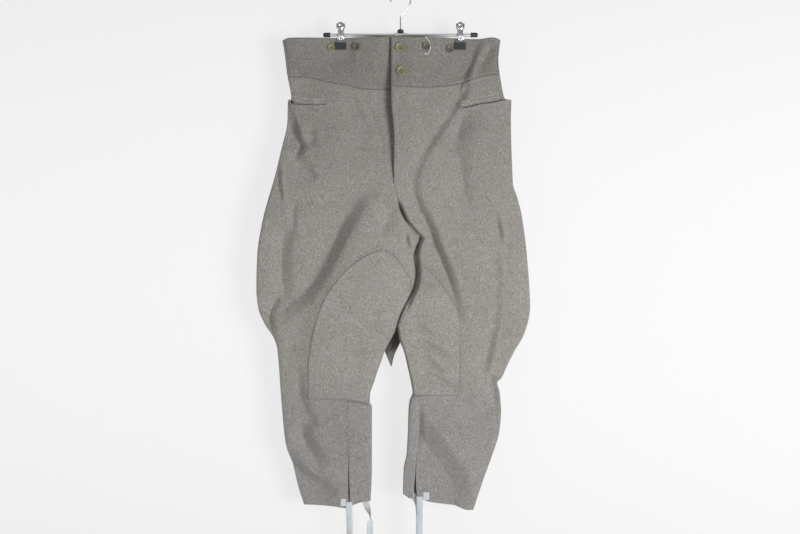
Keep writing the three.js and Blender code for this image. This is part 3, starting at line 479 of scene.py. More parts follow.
@dataclass(frozen=True)
class TrouserForm:
    """The hollow form of the whole garment, from which every cloth piece takes its faces."""

    cloth: float = 0.002
    seam: float = 0.0003
    pressed: float = 0.0021  # least half depth, where the clips press front and back together
    drawn_depth: float = 0.007  # half depth of the waistband round the clips
    fly_end: float = -0.384
    legs_part: float = -0.668
    shin_top: float = -0.8
    pocket_height: float = -0.25
    clip_place: float = 0.1195
    outer_round: float = 26.0
    side_taper: float = 0.32  # how much thinner the garment is at its sides
    thigh_round: float = 3.0
    lapped_round: float = 8.0  # the thighs' fronts stay flat to their edges, where the right one lies over the left
    touch_round: float = 15.0  # where they only touch
    leg_round: float = 22.0
    back_round: float = 6.0
    fly_lap: Span = (0.012, 0.058)  # places x over which the fly's rise dies away
    drawn_reach: Span = (0.03, 0.105)  # distances from a clip over which its pull dies away
    drawn_heights: Span = (-0.2, -0.13)
    held_reach: Span = (0.013, 0.034)
    held_heights: Span = (-0.165, -0.125)
    touch_depths: Span = (0.58, 0.625)  # depths below the hook over which one roundness passes into the next
    leg_depths: Span = (0.655, 0.7)
    back_depths: Span = (0.545, 0.615)

    def inner_line(self, side: Side, z: Array) -> Array:
        """The centre line above the crotch's foot, and the side's inseam below it."""
        return np.where(z > self.legs_part, CENTRE(z), INSEAM[side](z))

    def share_at(self, side: Side, x: Array, z: Array) -> Array:
        """The share s of a place x at height z."""
        inner = self.inner_line(side, z)
        return (x - inner) / (OUTLINE[side](z) - inner)

    def place_x(self, side: Side, s: Array, z: Array) -> Array:
        """The place x of shares s at heights z."""
        return lerp(self.inner_line(side, z), OUTLINE[side](z), s)

    def as_share(self, side: Side, z: Array, length: Array | float) -> Array:
        """A length across the cloth, as a share of the way from the inner line to the outline."""
        return length / np.abs(OUTLINE[side](z) - self.inner_line(side, z))

    def seam_share(self, side: Side, z: Array) -> Array:
        """The share of the side seam, where the front panel meets the back panel."""
        return 1 - self.as_share(side, z, WRAP[side](z))

    def break_share(self, side: Side, z: Array) -> Array:
        """The share of the line from the pocket's inner end down to the shin seam, and then along that seam."""
        shin = self.share_at(side, SHIN[side](self.shin_top), np.asarray(self.shin_top))
        rise = np.clip((z - self.shin_top) / (self.pocket_height - self.shin_top), 0, 1)
        return np.where(z < self.shin_top, self.share_at(side, SHIN[side](z), z), lerp(shin, POCKET_END[side], rise))

    def shin_gap(self, side: Side, z: Array) -> Array:
        """Half the gap between the shin and the front panel, as a share: a seam that opens to a slit."""
        return self.as_share(side, z, self.seam / 2 + SLIT[side](z))

    def folds(self, back: Array, x: Array, z: Array) -> Array:
        """How deep the creases and the cloth's own unevenness press in at places x, z of the front or back.

        Args:
            back: True where a place is on the back.
            x: places across.
            z: heights, of the same shape.

        Returns:
            The depth at each place.
        """
        total = np.zeros_like(x)
        for mask, creases, ripples in ((~back, FRONT_FOLDS, FRONT_RIPPLES), (back, BACK_FOLDS, BACK_RIPPLES)):
            if mask.any():
                total[mask] = sum(fold.depth(x[mask], z[mask]) for fold in (*creases, *ripples))
        return total

    def points(self, side: Side, back: Array, s: Array, z: Array, inset: float = 0.0) -> Array:
        """Points of the cloth, where the half section is a superellipse of the share.

        Args:
            side: the wearer's right or left.
            back: True where a point is on the back.
            s: shares of the way from the inner line to the outline.
            z: heights.
            inset: how far inside the outer face of the cloth the points lie.

        Returns:
            The points, with X, Y and Z last.
        """
        closed = CLOSED(z)
        inner = self.inner_line(side, z) + side.out * (self.seam / 2 + inset * closed)
        x = lerp(inner, OUTLINE[side](z) - side.out * inset, s)
        lapped = ~back & (side is Side.LEFT)
        overlap = lapped * FLY_RISE(z) * (1 - ramp(x, *self.fly_lap))
        hollow = (~back & (side is Side.RIGHT)) * FLY_DEPTH(z)
        hollow = hollow * np.exp(-((np.clip(CENTRE(z) - x, 0, None) / FLY_REACH(z)) ** 2))
        beside = np.abs(np.abs(x) - self.clip_place)
        drawn = (1 - ramp(beside, *self.drawn_reach)) * ramp(z, *self.drawn_heights)
        held = (1 - ramp(beside, *self.held_reach)) * ramp(z, *self.held_heights)
        free = lerp(np.where(back, BACK_DEPTH(z), FRONT_DEPTH(z)), self.drawn_depth, drawn)
        free = free - self.folds(back, x, z) + overlap - hollow
        depth = np.maximum(self.pressed, lerp(free, self.pressed, held))
        out = np.clip(np.abs(s), 0, 1)
        round_out = (1 - out ** self.outer_round) ** (1 / self.outer_round) * (1 - self.side_taper * out ** 2)
        touching = lerp(self.lapped_round, self.touch_round, ramp(-z, *self.touch_depths))
        before = lerp(touching, self.leg_round, ramp(-z, *self.leg_depths))
        over = np.where(back, lerp(self.thigh_round, self.back_round, ramp(-z, *self.back_depths)), before)
        round_in = (1 - (1 - np.clip(s, 0, 1)) ** over) ** (1 / over)
        y = self.seam / 2 + (depth - inset) * round_out * lerp(1, round_in, closed)
        return np.stack([x, np.where(back, y, -y), z], axis=-1)

    def on_front(self, x: Array, z: Array, lift: float = 0.0) -> Array:
        """Points on the outer face of the front at places x, z, or lifted off it by a length.

        Args:
            x: places across.
            z: heights.
            lift: how far off the face the points lie.

        Returns:
            The points, with X, Y and Z last.
        """
        x, z = np.broadcast_arrays(np.asarray(x, float), np.asarray(z, float))
        flat_x, flat_z = x.ravel(), z.ravel()
        placed = np.zeros((len(flat_x), 3))
        left = flat_x > self.inner_line(Side.LEFT, flat_z)
        for side, mask in ((Side.LEFT, left), (Side.RIGHT, ~left)):
            if mask.any():
                mx, mz = flat_x[mask], flat_z[mask]
                share = self.share_at(side, mx, mz)
                placed[mask] = self.points(side, np.zeros(mask.sum(), bool), share, mz)
        placed = placed.reshape(*x.shape, 3)
        if lift:
            placed = placed + self.front_normal(x, z) * lift
        return placed

    def front_normal(self, x: Array, z: Array) -> Array:
        """Outward normals of the front at places x, z, from its slope over a millimetre each way."""
        step = 0.001
        over = self.on_front(x + step, z) - self.on_front(x - step, z)
        up = self.on_front(x, z + step) - self.on_front(x, z - step)
        return unit(np.cross(over, up))


FORM = TrouserForm()


# ---- meshes from arrays


def add_object(name: str, data: bpy.types.ID) -> Object:
    """A new object of some data, in the scene."""
    made = bpy.data.objects.new(name, data)
    bpy.context.scene.collection.objects.link(made)
    return made


def put_mesh(name: str, points: Array, quads: Array, caps: Sequence[Sequence[int]] = (), uv: Array | None = None,
             crisp: float = 50.0, soil_and_shade: Array | None = None) -> Object:
    """Makes an object of arrays of points and faces, turned so that its faces look outward.

    Args:
        name: the piece's name.
        points: its points, (n, 3).
        quads: point numbers of its four-sided faces, (m, 4).
        caps: point numbers of its end faces, of any number of sides.
        uv: a place in the piece's own map for each point, (n, 2).
        crisp: angle in degrees above which an edge stays sharp.
        soil_and_shade: how far the wool is darkened at each point, from 0 to 1: soiling and painted shade beside a
            seam, painted shadow on the seat fold.

    Returns:
        The object, at the origin, with its place in its mesh.
    """
    centred = points - points.mean(axis=0)
    a, b, c, d = (centred[quads[:, i]] for i in range(4))
    volume = (np.cross(b - a, c - a) * a).sum() + (np.cross(c - a, d - a) * a).sum()
    if volume < 0:
        quads = quads[:, ::-1]
        caps = [list(cap)[::-1] for cap in caps]
    loops = np.concatenate([quads.ravel(), *[np.asarray(cap) for cap in caps]]).astype(np.int32)
    totals = np.array([4] * len(quads) + [len(cap) for cap in caps], np.int32)
    mesh = bpy.data.meshes.new(name)
    mesh.vertices.add(len(points))
    mesh.vertices.foreach_set("co", points.astype(np.float32).ravel())
    mesh.loops.add(len(loops))
    mesh.loops.foreach_set("vertex_index", loops)
    mesh.polygons.add(len(totals))
    mesh.polygons.foreach_set("loop_start", np.concatenate([[0], np.cumsum(totals)[:-1]]).astype(np.int32))
    mesh.polygons.foreach_set("loop_total", totals)
    if uv is not None:
        layer = mesh.uv_layers.new(name="cloth")
        layer.data.foreach_set("uv", uv[loops].astype(np.float32).ravel())
    if soil_and_shade is not None:
        layer = mesh.attributes.new("soil_and_shade", "FLOAT", "POINT")
        layer.data.foreach_set("value", soil_and_shade.astype(np.float32).ravel())
    mesh.update(calc_edges=True)
    mesh.validate()
    mesh.polygons.foreach_set("use_smooth", np.full(len(mesh.polygons), True))
    mesh.set_sharp_from_angle(angle=math.radians(crisp))
    return add_object(name, mesh)


def bands(count: int, sides: int) -> tuple[Array, Array]:
    """Point numbers of a count of rings, and the four-sided faces that join each ring to the next."""
    index = np.arange(count * sides).reshape(count, sides)
    turned = np.roll(index, -1, axis=1)
    return index, np.stack([index[:-1], index[1:], turned[1:], turned[:-1]], -1).reshape(-1, 4)


def shell(name: str, outer: Array, inner: Array, keep: Array | None = None, uv: Array | None = None,
          crisp: float = 50.0, soil_and_shade: Array | None = None) -> Object:
    """One closed wall between an outer and an inner grid of points, with a rim along every edge of what is kept.

    Args:
        name: the piece's name.
        outer: the outer face, (rows, columns, 3).
        inner: the inner face, of the same shape.
        keep: True for each cell of the grid that is built.
        uv: a place in the piece's own map for each grid point.
        crisp: angle in degrees above which an edge stays sharp.
        soil_and_shade: how far the wool is darkened at each grid point, from 0 to 1, for soiling and painted shade.

    Returns:
        The object.
    """
    rows, columns = outer.shape[:2]
    index = np.arange(rows * columns).reshape(rows, columns)
    a, b, c, d = index[:-1, :-1], index[1:, :-1], index[1:, 1:], index[:-1, 1:]
    kept = np.ones((rows - 1, columns - 1), bool) if keep is None else keep
    cells = np.linalg.norm(np.cross(outer[1:, 1:] - outer[:-1, :-1], outer[1:, :-1] - outer[:-1, 1:]), axis=-1) / 2
    width = np.linalg.norm(np.diff(outer, axis=1), axis=-1).sum(axis=1)
    length = np.linalg.norm(np.diff(outer, axis=0), axis=-1).sum(axis=0)
    log.info("%s: cut %.3f by %.3f m, %.4f m2", name, width.max(), length.max(), cells[kept].sum())
    shift = rows * columns
    faces = [np.stack([a, b, c, d], -1)[kept], np.stack([a, d, c, b], -1)[kept] + shift]
    around = np.pad(kept, 1)
    beside = ((around[1:-1, :-2], a, b), (around[2:, 1:-1], b, c), (around[1:-1, 2:], c, d), (around[:-2, 1:-1], d, a))
    for neighbour, start, end in beside:
        edge = kept & ~neighbour
        p, q = start[edge], end[edge]
        faces.append(np.stack([q, p, p + shift, q + shift], -1))
    quads = np.concatenate(faces)
    points = np.concatenate([outer.reshape(-1, 3), inner.reshape(-1, 3)])
    used, quads = np.unique(quads, return_inverse=True)
    both = None if uv is None else np.concatenate([uv.reshape(-1, 2)] * 2)[used]
    marks = None if soil_and_shade is None else np.concatenate([soil_and_shade.ravel()] * 2)[used]
    return put_mesh(name, points[used], quads.reshape(-1, 4), uv=both, crisp=crisp, soil_and_shade=marks)


def tube(name: str, rings: Array, uv: Array | None = None, crisp: float = 50.0) -> Object:
    """A closed skin over rings of points, each ring joined to the next and the end rings capped.

    Args:
        name: the piece's name.
        rings: (rings, points round, 3).
        uv: a place in the piece's own map for each point.
        crisp: angle in degrees above which an edge stays sharp.

    Returns:
        The object.
    """
    index, quads = bands(*rings.shape[:2])
    caps = [list(index[0]), list(index[-1][::-1])]
    flat = None if uv is None else uv.reshape(-1, 2)
    return put_mesh(name, rings.reshape(-1, 3), quads, caps, uv=flat, crisp=crisp)


def copies(name: str, template: Array, quads: Array, places: Array, along: Array, normal: Array,
           crisp: float = 50.0) -> Object:
    """One joined mesh of many copies of a small closed shape.

    Args:
        name: the piece's name.
        template: the shape's points, whose X runs along, Y across and Z off the surface.
        quads: the shape's faces.
        places: where each copy's origin goes, (n, 3).
        along: the direction of each copy's X.
        normal: the direction of each copy's Z.
        crisp: angle in degrees above which an edge stays sharp.

    Returns:
        The object.
    """
    along = unit(along)
    aside = unit(np.cross(normal, along))
    off = np.cross(along, aside)
    points = (places[:, None] + template[None, :, :1] * along[:, None] + template[None, :, 1:2] * aside[:, None]
              + template[None, :, 2:] * off[:, None])
    faces = quads[None] + (np.arange(len(places)) * len(template))[:, None, None]
    return put_mesh(name, points.reshape(-1, 3), faces.reshape(-1, 4), crisp=crisp)


def spindle(length: float, width: float, height: float, sides: int = 6, rings: int = 5) -> tuple[Array, Array]:
    """A small thread stitch: an ellipsoid's rings, whose end rings are small enough to read as closed points.

    Args:
        length: its length along X.
        width: its width along Y.
        height: its height along Z.
        sides: points round each ring.
        rings: how many rings.

    Returns:
        Its points and its four-sided faces.
    """
    lat = np.linspace(-0.46, 0.46, rings) * math.pi
    turn = angles(sides)
    ring = np.stack([np.sin(lat)[:, None] * length / 2 + 0 * turn, np.cos(lat)[:, None] * np.cos(turn) * width / 2,
                     np.cos(lat)[:, None] * np.sin(turn) * height / 2], -1)
    index, quads = bands(rings, sides)
    half = sides // 2
    ends = [[e[k], e[k + 1], e[sides - 2 - k], e[sides - 1 - k]] for e in (index[0], index[-1][::-1])
            for k in range(half - 1)]
    return ring.reshape(-1, 3), np.concatenate([quads, np.array(ends)])


# ---- finishes


def opaque(colour: Triple) -> tuple[float, float, float, float]:
    """A colour with its alpha."""
    return (*colour, 1.0)


class Nodes:
    """A node tree that is being filled, with a short call for each kind of node."""

    def __init__(self, tree: Tree) -> None:
        """Keeps the tree to fill."""
        self.tree = tree

    def feed(self, inputs: bpy.types.bpy_prop_collection, values: dict[str | int, object]) -> None:
        """Links each named or numbered input to an output socket, or sets it to a constant."""
        for name, value in values.items():
            if isinstance(value, Socket):
                self.tree.links.new(value, inputs[name])
            else:
                inputs[name].default_value = value

    def add(self, kind: str, values: dict[str | int, object] | None = None, **settings: object) -> Outputs:
        """Adds a shader node.

        Args:
            kind: the node's type, without its ShaderNode prefix.
            values: a value or an output socket for each named or numbered input.
            **settings: the node's own options.

        Returns:
            The node's outputs.
        """
        node = self.tree.nodes.new("ShaderNode" + kind)
        for name, value in settings.items():
            setattr(node, name, value)
        self.feed(node.inputs, values or {})
        return node.outputs

    def where(self, kind: str = "Object") -> Socket:
        """The place on the object or, by its UV, in the piece's own map."""
        return self.add("TexCoord")[kind]

    def axis(self, name: str, kind: str = "Object") -> Socket:
        """One coordinate of that place."""
        return self.add("SeparateXYZ", {0: self.where(kind)})[name]

    def noise(self, where: Socket, scale: object, detail: float = 2.0, roughness: float = 0.5) -> Socket:
        """Smooth noise of 0 to 1, with this many waves to the metre."""
        return self.add("TexNoise", {"Vector": where, "Scale": scale, "Detail": detail, "Roughness": roughness})["Fac"]

    def window(self, value: Socket, low: float, high: float, start: float = 0.0, end: float = 1.0) -> Socket:
        """A value mapped from low..high to start..end, and held there."""
        inputs = {"Value": value, "From Min": low, "From Max": high, "To Min": start, "To Max": end}
        return self.add("MapRange", inputs)["Result"]

    def maths(self, operation: str, a: object, b: object = 0.0) -> Socket:
        """One step of arithmetic."""
        return self.add("Math", {0: a, 1: b}, operation=operation)[0]

    def plus(self, a: object, b: object) -> Socket:
        """The sum of a and b."""
        return self.maths("ADD", a, b)

    def times(self, a: object, b: object) -> Socket:
        """The product of a and b."""
        return self.maths("MULTIPLY", a, b)

    def mix(self, share: object, a: object, b: object, kind: str = "MIX") -> Socket:
        """Colour a with a share of colour b over it."""
        return self.add("Mix", {0: share, 6: a, 7: b}, data_type="RGBA", blend_type=kind)[2]

    def dimmed(self, colour: Socket, level: Socket) -> Socket:
        """A colour times a level."""
        return self.mix(1.0, colour, self.add("CombineColor", {0: level, 1: level, 2: level})[0], "MULTIPLY")

    def bump(self, height: Socket, strength: float, distance: float) -> Socket:
        """The shading normal of a height."""
        return self.add("Bump", {"Height": height, "Strength": strength, "Distance": distance})["Normal"]

    def effect(self, name: str, **values: object) -> Outputs:
        """A shared effect, whose group is built the first time it is used."""
        node = self.tree.nodes.new("ShaderNodeGroup")
        node.node_tree = bpy.data.node_groups.get(name) or group(name, *EFFECTS[name])
        self.feed(node.inputs, values)
        return node.outputs


def melange(nodes: Nodes, given: Outputs) -> dict[str, Socket]:
    """Fulled wool of mixed fibres: dark, middle and light hairs, pale flecks and a slow cloudiness.

    The colour and the height are sums of noises at the scale of hairs (0.7 mm), of tufts (2.3 mm), of knots (5 mm),
    of clouds (16 mm) and of broad patches (70 mm).
    """
    where = nodes.where()
    slanted = nodes.add("Mapping", {"Vector": where, "Rotation": (0.0, 0.6, 0.0), "Scale": (1.0, 1.0, 0.75)})["Vector"]
    hairs, tufts = nodes.noise(slanted, 1400, 3.0, 0.7), nodes.noise(slanted, 430, 2.5, 0.6)
    knots, clouds, patches = nodes.noise(where, 210, 3.0, 0.6), nodes.noise(where, 62), nodes.noise(where, 14)
    mixed = nodes.plus(nodes.times(hairs, 0.5), nodes.times(tufts, 0.5))
    colour = nodes.mix(nodes.window(mixed, 0.36, 0.50), given["Dark"], given["Middle"])
    pale, spots = nodes.window(mixed, 0.5, 0.66), nodes.window(knots, 0.6, 0.72, 0.0, 0.55)
    pits = nodes.window(knots, 0.4, 0.28, 0.0, 0.35)
    for cover, tint in ((pale, "Light"), (spots, "Light"), (pits, "Dark")):
        colour = nodes.mix(nodes.times(cover, given["Flecks"]), colour, given[tint])
    warmth = nodes.mix(nodes.window(clouds, 0.3, 0.7), opaque((1.03, 1.0, 0.965)), opaque((0.975, 1.0, 1.03)))
    colour = nodes.mix(1.0, colour, warmth, "MULTIPLY")
    slow = nodes.plus(*(nodes.window(part, 0.3, 0.7, -0.05, 0.05) for part in (clouds, patches)))
    colour = nodes.dimmed(colour, nodes.plus(nodes.times(slow, given["Clouds"]), 1.0))
    return {"Color": colour, "Height": nodes.plus(nodes.times(mixed, 0.8), nodes.times(knots, 1.2))}


def weave(nodes: Nodes, given: Outputs) -> dict[str, Socket]:
    """A slanting twill or, with no slant, a ribbed tape, on the piece's own map: crossed sines of its two ways."""
    over, down = nodes.axis("X", "UV"), nodes.axis("Y", "UV")
    turns = nodes.maths("DIVIDE", TURN, given["Pitch"])
    ribs = nodes.maths("SINE", nodes.times(nodes.plus(down, nodes.times(over, given["Slant"])), turns))
    threads = nodes.maths("SINE", nodes.times(over, nodes.times(turns, 1.7)))
    return {"Height": nodes.plus(nodes.plus(nodes.times(ribs, 0.35), nodes.times(threads, 0.15)), 0.5)}


def wear(nodes: Nodes, given: Outputs) -> dict[str, Socket]:
    """Fine scuffs and handling marks, as a mask and a height: stretched noise over blotchy noise."""
    where = nodes.where()
    drawn = nodes.add("Mapping", {"Vector": where, "Scale": (0.12, 1.0, 1.0)})["Vector"]
    scratches, blotches = nodes.noise(drawn, given["Scale"], 4.0), nodes.noise(where, 90.0)
    mask = nodes.times(nodes.window(scratches, 0.45, 0.7), nodes.window(blotches, 0.35, 0.65))
    return {"Mask": mask, "Height": scratches}


# The shared effects: the inputs of each group with their defaults, and what paints it.
EFFECTS = {
    "melange": ({"Dark": opaque((0.1, 0.1, 0.1)), "Middle": opaque((0.2, 0.2, 0.2)), "Light": opaque((0.4, 0.4, 0.4)),
                 "Flecks": 1.0, "Clouds": 1.0}, melange),
    "weave": ({"Pitch": 0.0011, "Slant": 1.0}, weave),
    "wear": ({"Scale": 300.0}, wear),
}


def group(name: str, inputs: dict[str, object], paint: Callable[[Nodes, Outputs], dict[str, Socket]]) -> Tree:
    """A node group of one effect.

    Args:
        name: the group's name.
        inputs: each input's name and default, a number or a colour.
        paint: makes the group's outputs of its inputs.

    Returns:
        The group's tree.
    """
    tree = bpy.data.node_groups.new(name, "ShaderNodeTree")
    for socket, value in inputs.items():
        kind = "NodeSocketColor" if isinstance(value, tuple) else "NodeSocketFloat"
        tree.interface.new_socket(socket, in_out="INPUT", socket_type=kind).default_value = value
    nodes = Nodes(tree)
    results = paint(nodes, tree.nodes.new("NodeGroupInput").outputs)
    for socket, value in results.items():
        kind = "NodeSocketColor" if value.type == "RGBA" else "NodeSocketFloat"
        tree.interface.new_socket(socket, in_out="OUTPUT", socket_type=kind)
    nodes.feed(tree.nodes.new("NodeGroupOutput").inputs, results)
    return tree


@dataclass(frozen=True)
class Finish:
    """A material of one Principled shader."""

    name: str

    def sockets(self, nodes: Nodes) -> dict[str, object]:
        """The shader's inputs by name: constants, or the outputs of nodes."""
        raise NotImplementedError

    def build(self) -> Material:
        """The material."""
        made = bpy.data.materials.new(self.name)
        made.use_nodes = True
        nodes = Nodes(made.node_tree)
        nodes.feed(made.node_tree.nodes["Principled BSDF"].inputs, self.sockets(nodes))
        return made


@dataclass(frozen=True)
class WoolFinish(Finish):
    """Fulled melange wool with a short nap: mixed hairs, a faint twill under them, and a soft sheen."""

    dark: Triple = (0.112, 0.106, 0.098)
    middle: Triple = (0.202, 0.19, 0.175)
    light: Triple = (0.44, 0.422, 0.395)
    flecks: float = 0.5
    clouds: float = 0.7
    nap: float = 0.3
    nap_tint: Triple = (0.92, 0.9, 0.87)
    twill: float = 0.35  # how far the twill's ribs show beside the hairs
    tone: float = 1.0  # how light the nap lies on this part's cut
    waist_shade: Triple = (0.9, 0.9, 0.905)  # painted shade: what is left of the colour towards the waist, for light that falls off towards the top
    waist_shade_heights: Span = (-0.42, -0.22)
    below_knee_tint: Triple = (0.905, 0.92, 0.96)  # a cooler, slightly darker tint below the knees
    below_knee_heights: Span = (-0.76, -0.87)
    soil_and_shade_dimming: float = 0.36  # how much darker the wool is under its mask: soiling and painted shade along seams, painted shadow on the seat fold

    def sockets(self, nodes: Nodes) -> dict[str, object]:
        """The hairs' colours, darkened under the mask along seams and on the seat fold, dimmed towards the waist as
        painted shade, and tinted cooler below the knees.
        """
        hairs = (self.dark, self.middle, self.light)
        dark, middle, light = (tuple(part * self.tone for part in tint) for tint in hairs)
        fibres = nodes.effect("melange", Dark=opaque(dark), Middle=opaque(middle), Light=opaque(light),
                              Flecks=self.flecks, Clouds=self.clouds)
        twill = nodes.effect("weave", Pitch=0.0013, Slant=1.0)["Height"]
        # Soiling and painted shade: the mask darkens the colour along seams, and on the seat fold it paints the
        # thighs' shadow.
        pressed = nodes.add("Attribute", attribute_name="soil_and_shade")["Fac"]
        colour = nodes.mix(pressed, fibres["Color"], opaque(tuple(part * (1 - self.soil_and_shade_dimming) for part in middle)))
        # Painted shade towards the waist; below the knees a cooler, slightly darker tint.
        height = nodes.axis("Z")
        for (start, end), left in ((self.waist_shade_heights, self.waist_shade), (self.below_knee_heights, self.below_knee_tint)):
            colour = nodes.mix(nodes.window(height, start, end), colour, opaque(left), "MULTIPLY")
        relief = nodes.plus(fibres["Height"], nodes.times(twill, self.twill))
        return {"Roughness": 0.92, "Specular IOR Level": 0.25, "Sheen Weight": self.nap, "Sheen Roughness": 0.45,
                "Sheen Tint": opaque(self.nap_tint), "Base Color": colour, "Normal": nodes.bump(relief, 0.55, 0.0006)}


@dataclass(frozen=True)
class TapeFinish(Finish):
    """Washed cotton tape: pale, ribbed across, with painted shade in the hollows of its ribs."""

    pale: Triple = (0.45, 0.475, 0.49)
    shaded: Triple = (0.34, 0.37, 0.4)
    rib: float = 0.0009

    def sockets(self, nodes: Nodes) -> dict[str, object]:
        """Ribs with painted shade in their hollows, and darker where they are dirty."""
        ribs = nodes.effect("weave", Pitch=self.rib, Slant=0.0)["Height"]
        dirt = nodes.times(nodes.effect("wear", Scale=240.0)["Mask"], 0.5)
        shade = nodes.window(nodes.maths("SUBTRACT", nodes.times(ribs, 0.7), dirt), 0.0, 0.5)
        return {"Roughness": 0.9, "Specular IOR Level": 0.2, "Sheen Weight": 0.15, "Sheen Roughness": 0.5,
                "Base Color": nodes.mix(shade, opaque(self.shaded), opaque(self.pale)),
                "Normal": nodes.bump(ribs, 0.5, 0.0003)}


@dataclass(frozen=True)
class ButtonFinish(Finish):
    """Pressed horn: two close colours that drift into each other, polished, with painted shade in the dish inside the
    rim.
    """

    colour: Triple
    streak: Triple
    dished: float = 0.66  # painted shade: how dark the dish inside the rim is made
    polish: float = 0.38

    def sockets(self, nodes: Nodes) -> dict[str, object]:
        """The drift of the two colours, dimmed in the dish as painted shade, under handling marks."""
        drift = nodes.window(nodes.noise(nodes.where(), 260, 3.0, 0.6), 0.35, 0.65)
        marks = nodes.effect("wear", Scale=900.0)
        dished = nodes.window(nodes.axis("X", "UV"), 0.60, 0.82, self.dished, 1.0)
        return {"Coat Weight": 0.15, "Coat Roughness": 0.25,
                "Base Color": nodes.dimmed(nodes.mix(drift, opaque(self.colour), opaque(self.streak)), dished),
                "Roughness": nodes.plus(nodes.times(marks["Mask"], 0.35), self.polish),
                "Normal": nodes.bump(marks["Height"], 0.15, 0.0002)}


@dataclass(frozen=True)
class MetalFinish(Finish):
    """Bright plate on steel, with handling marks that dull it in places."""

    colour: Triple = (0.37, 0.38, 0.4)
    polish: float = 0.24

    def sockets(self, nodes: Nodes) -> dict[str, object]:
        """Metal that the marks make rougher."""
        marks = nodes.effect("wear", Scale=1400.0)
        return {"Metallic": 1.0, "Base Color": opaque(self.colour),
                "Roughness": nodes.plus(nodes.times(marks["Mask"], 0.22), self.polish),
                "Normal": nodes.bump(marks["Height"], 0.06, 0.0001)}


@dataclass(frozen=True)
class RubberFinish(Finish):
    """Black moulded rubber or plastic, matt with a faint grain and pale rubs."""

    colour: Triple = (0.012, 0.013, 0.015)
    rubbed: Triple = (0.036, 0.038, 0.042)

    def sockets(self, nodes: Nodes) -> dict[str, object]:
        """Black that the marks make paler."""
        marks = nodes.effect("wear", Scale=700.0)["Mask"]
        return {"Roughness": 0.55, "Base Color": nodes.mix(marks, opaque(self.colour), opaque(self.rubbed)),
                "Normal": nodes.bump(nodes.noise(nodes.where(), 2600), 0.25, 0.0002)}


@dataclass(frozen=True)
class ThreadFinish(Finish):
    """Spun sewing thread: one colour, with the light and dark of its plies."""

    colour: Triple
    shade: Triple

    def sockets(self, nodes: Nodes) -> dict[str, object]:
        """The plies' colours and relief."""
        plies = nodes.noise(nodes.where(), 1800)
        return {"Roughness": 0.8, "Sheen Weight": 0.2, "Sheen Roughness": 0.4,
                "Base Color": nodes.mix(nodes.window(plies, 0.35, 0.65), opaque(self.shade), opaque(self.colour)),
                "Normal": nodes.bump(plies, 0.3, 0.0002)}


@dataclass(frozen=True)
class FloorFinish(Finish):
    """A plain pale floor."""

    colour: Triple = (0.8, 0.8, 0.79)

    def sockets(self, nodes: Nodes) -> dict[str, object]:
        """One matt colour."""
        return {"Base Color": opaque(self.colour), "Roughness": 0.8}


class Finishes:
    """Every finish, built once."""

    def __init__(self) -> None:
        """Builds the materials."""
        self.wool = WoolFinish("melange_wool").build()
        self.band = WoolFinish("melange_wool_waist", tone=0.855).build()
        # The seat fold's wool is darkened more under its mask, for a deep painted shadow.
        self.fold = WoolFinish("melange_wool_fold", soil_and_shade_dimming=0.44).build()
        self.patch = WoolFinish("melange_wool_patch", tone=1.05).build()
        self.olive = ButtonFinish("olive_horn", (0.250, 0.228, 0.120), (0.172, 0.158, 0.086)).build()
        self.brown = ButtonFinish("brown_horn", (0.140, 0.119, 0.090), (0.086, 0.074, 0.058)).build()
        self.tape = TapeFinish("washed_cotton").build()
        self.chrome = MetalFinish("bright_chrome").build()
        self.satin = MetalFinish("satin_steel", colour=(0.74, 0.745, 0.75), polish=0.30).build()
        self.rubber = RubberFinish("black_rubber").build()
        self.seam_thread = ThreadFinish("grey_seam_thread", (0.30, 0.288, 0.268), (0.15, 0.142, 0.130)).build()
        self.button_thread = ThreadFinish("dark_button_thread", (0.050, 0.046, 0.038), (0.022, 0.020, 0.017)).build()
        self.pale_thread = ThreadFinish("pale_thread", (0.62, 0.62, 0.60), (0.42, 0.42, 0.41)).build()


@dataclass(frozen=True)
class Cut:
    """The flat cut of what shows of a cloth piece, in metres and square metres, and what it hangs from or lies on."""

    width: float
    length: float
    area: float | None = None
    rests_on: tuple[str, ...] = ()


def dress(piece: Object, slot: Slot, finish: Material, *nodes: str) -> Object:
    """Gives a piece its finish and its place on the body, and lets it stand for its CAD nodes.

    Args:
        piece: the object.
        slot: the record's slot that it shows; not used.
        finish: its material.
        *nodes: the CAD nodes that it stands for.

    Returns:
        The same object.
    """
    piece.data.materials.append(finish)
    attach(piece, "root")
    if nodes:
        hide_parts(*nodes)
    log.info("%s: %d faces", piece.name, len(piece.data.polygons))
    return piece


# ---- cloth pieces


class Border(Enum):
    """The four borders of a cloth grid."""

    TOP = "top"
    FOOT = "foot"
    START = "start"
    END = "end"


@dataclass
class ClothGrid:
    """The rows and columns of a cloth piece, in the form's own measures."""

    side: Side
    back: Array
    share: Array
    height: Array
    keep: Array | None = None
    raised: Array | float = 0.0  # how far each point stands off the form

    def face(self, inset: float) -> Array:
        """The piece's points at a depth under the form's outer face."""
        return FORM.points(self.side, self.back, self.share, self.height, inset)


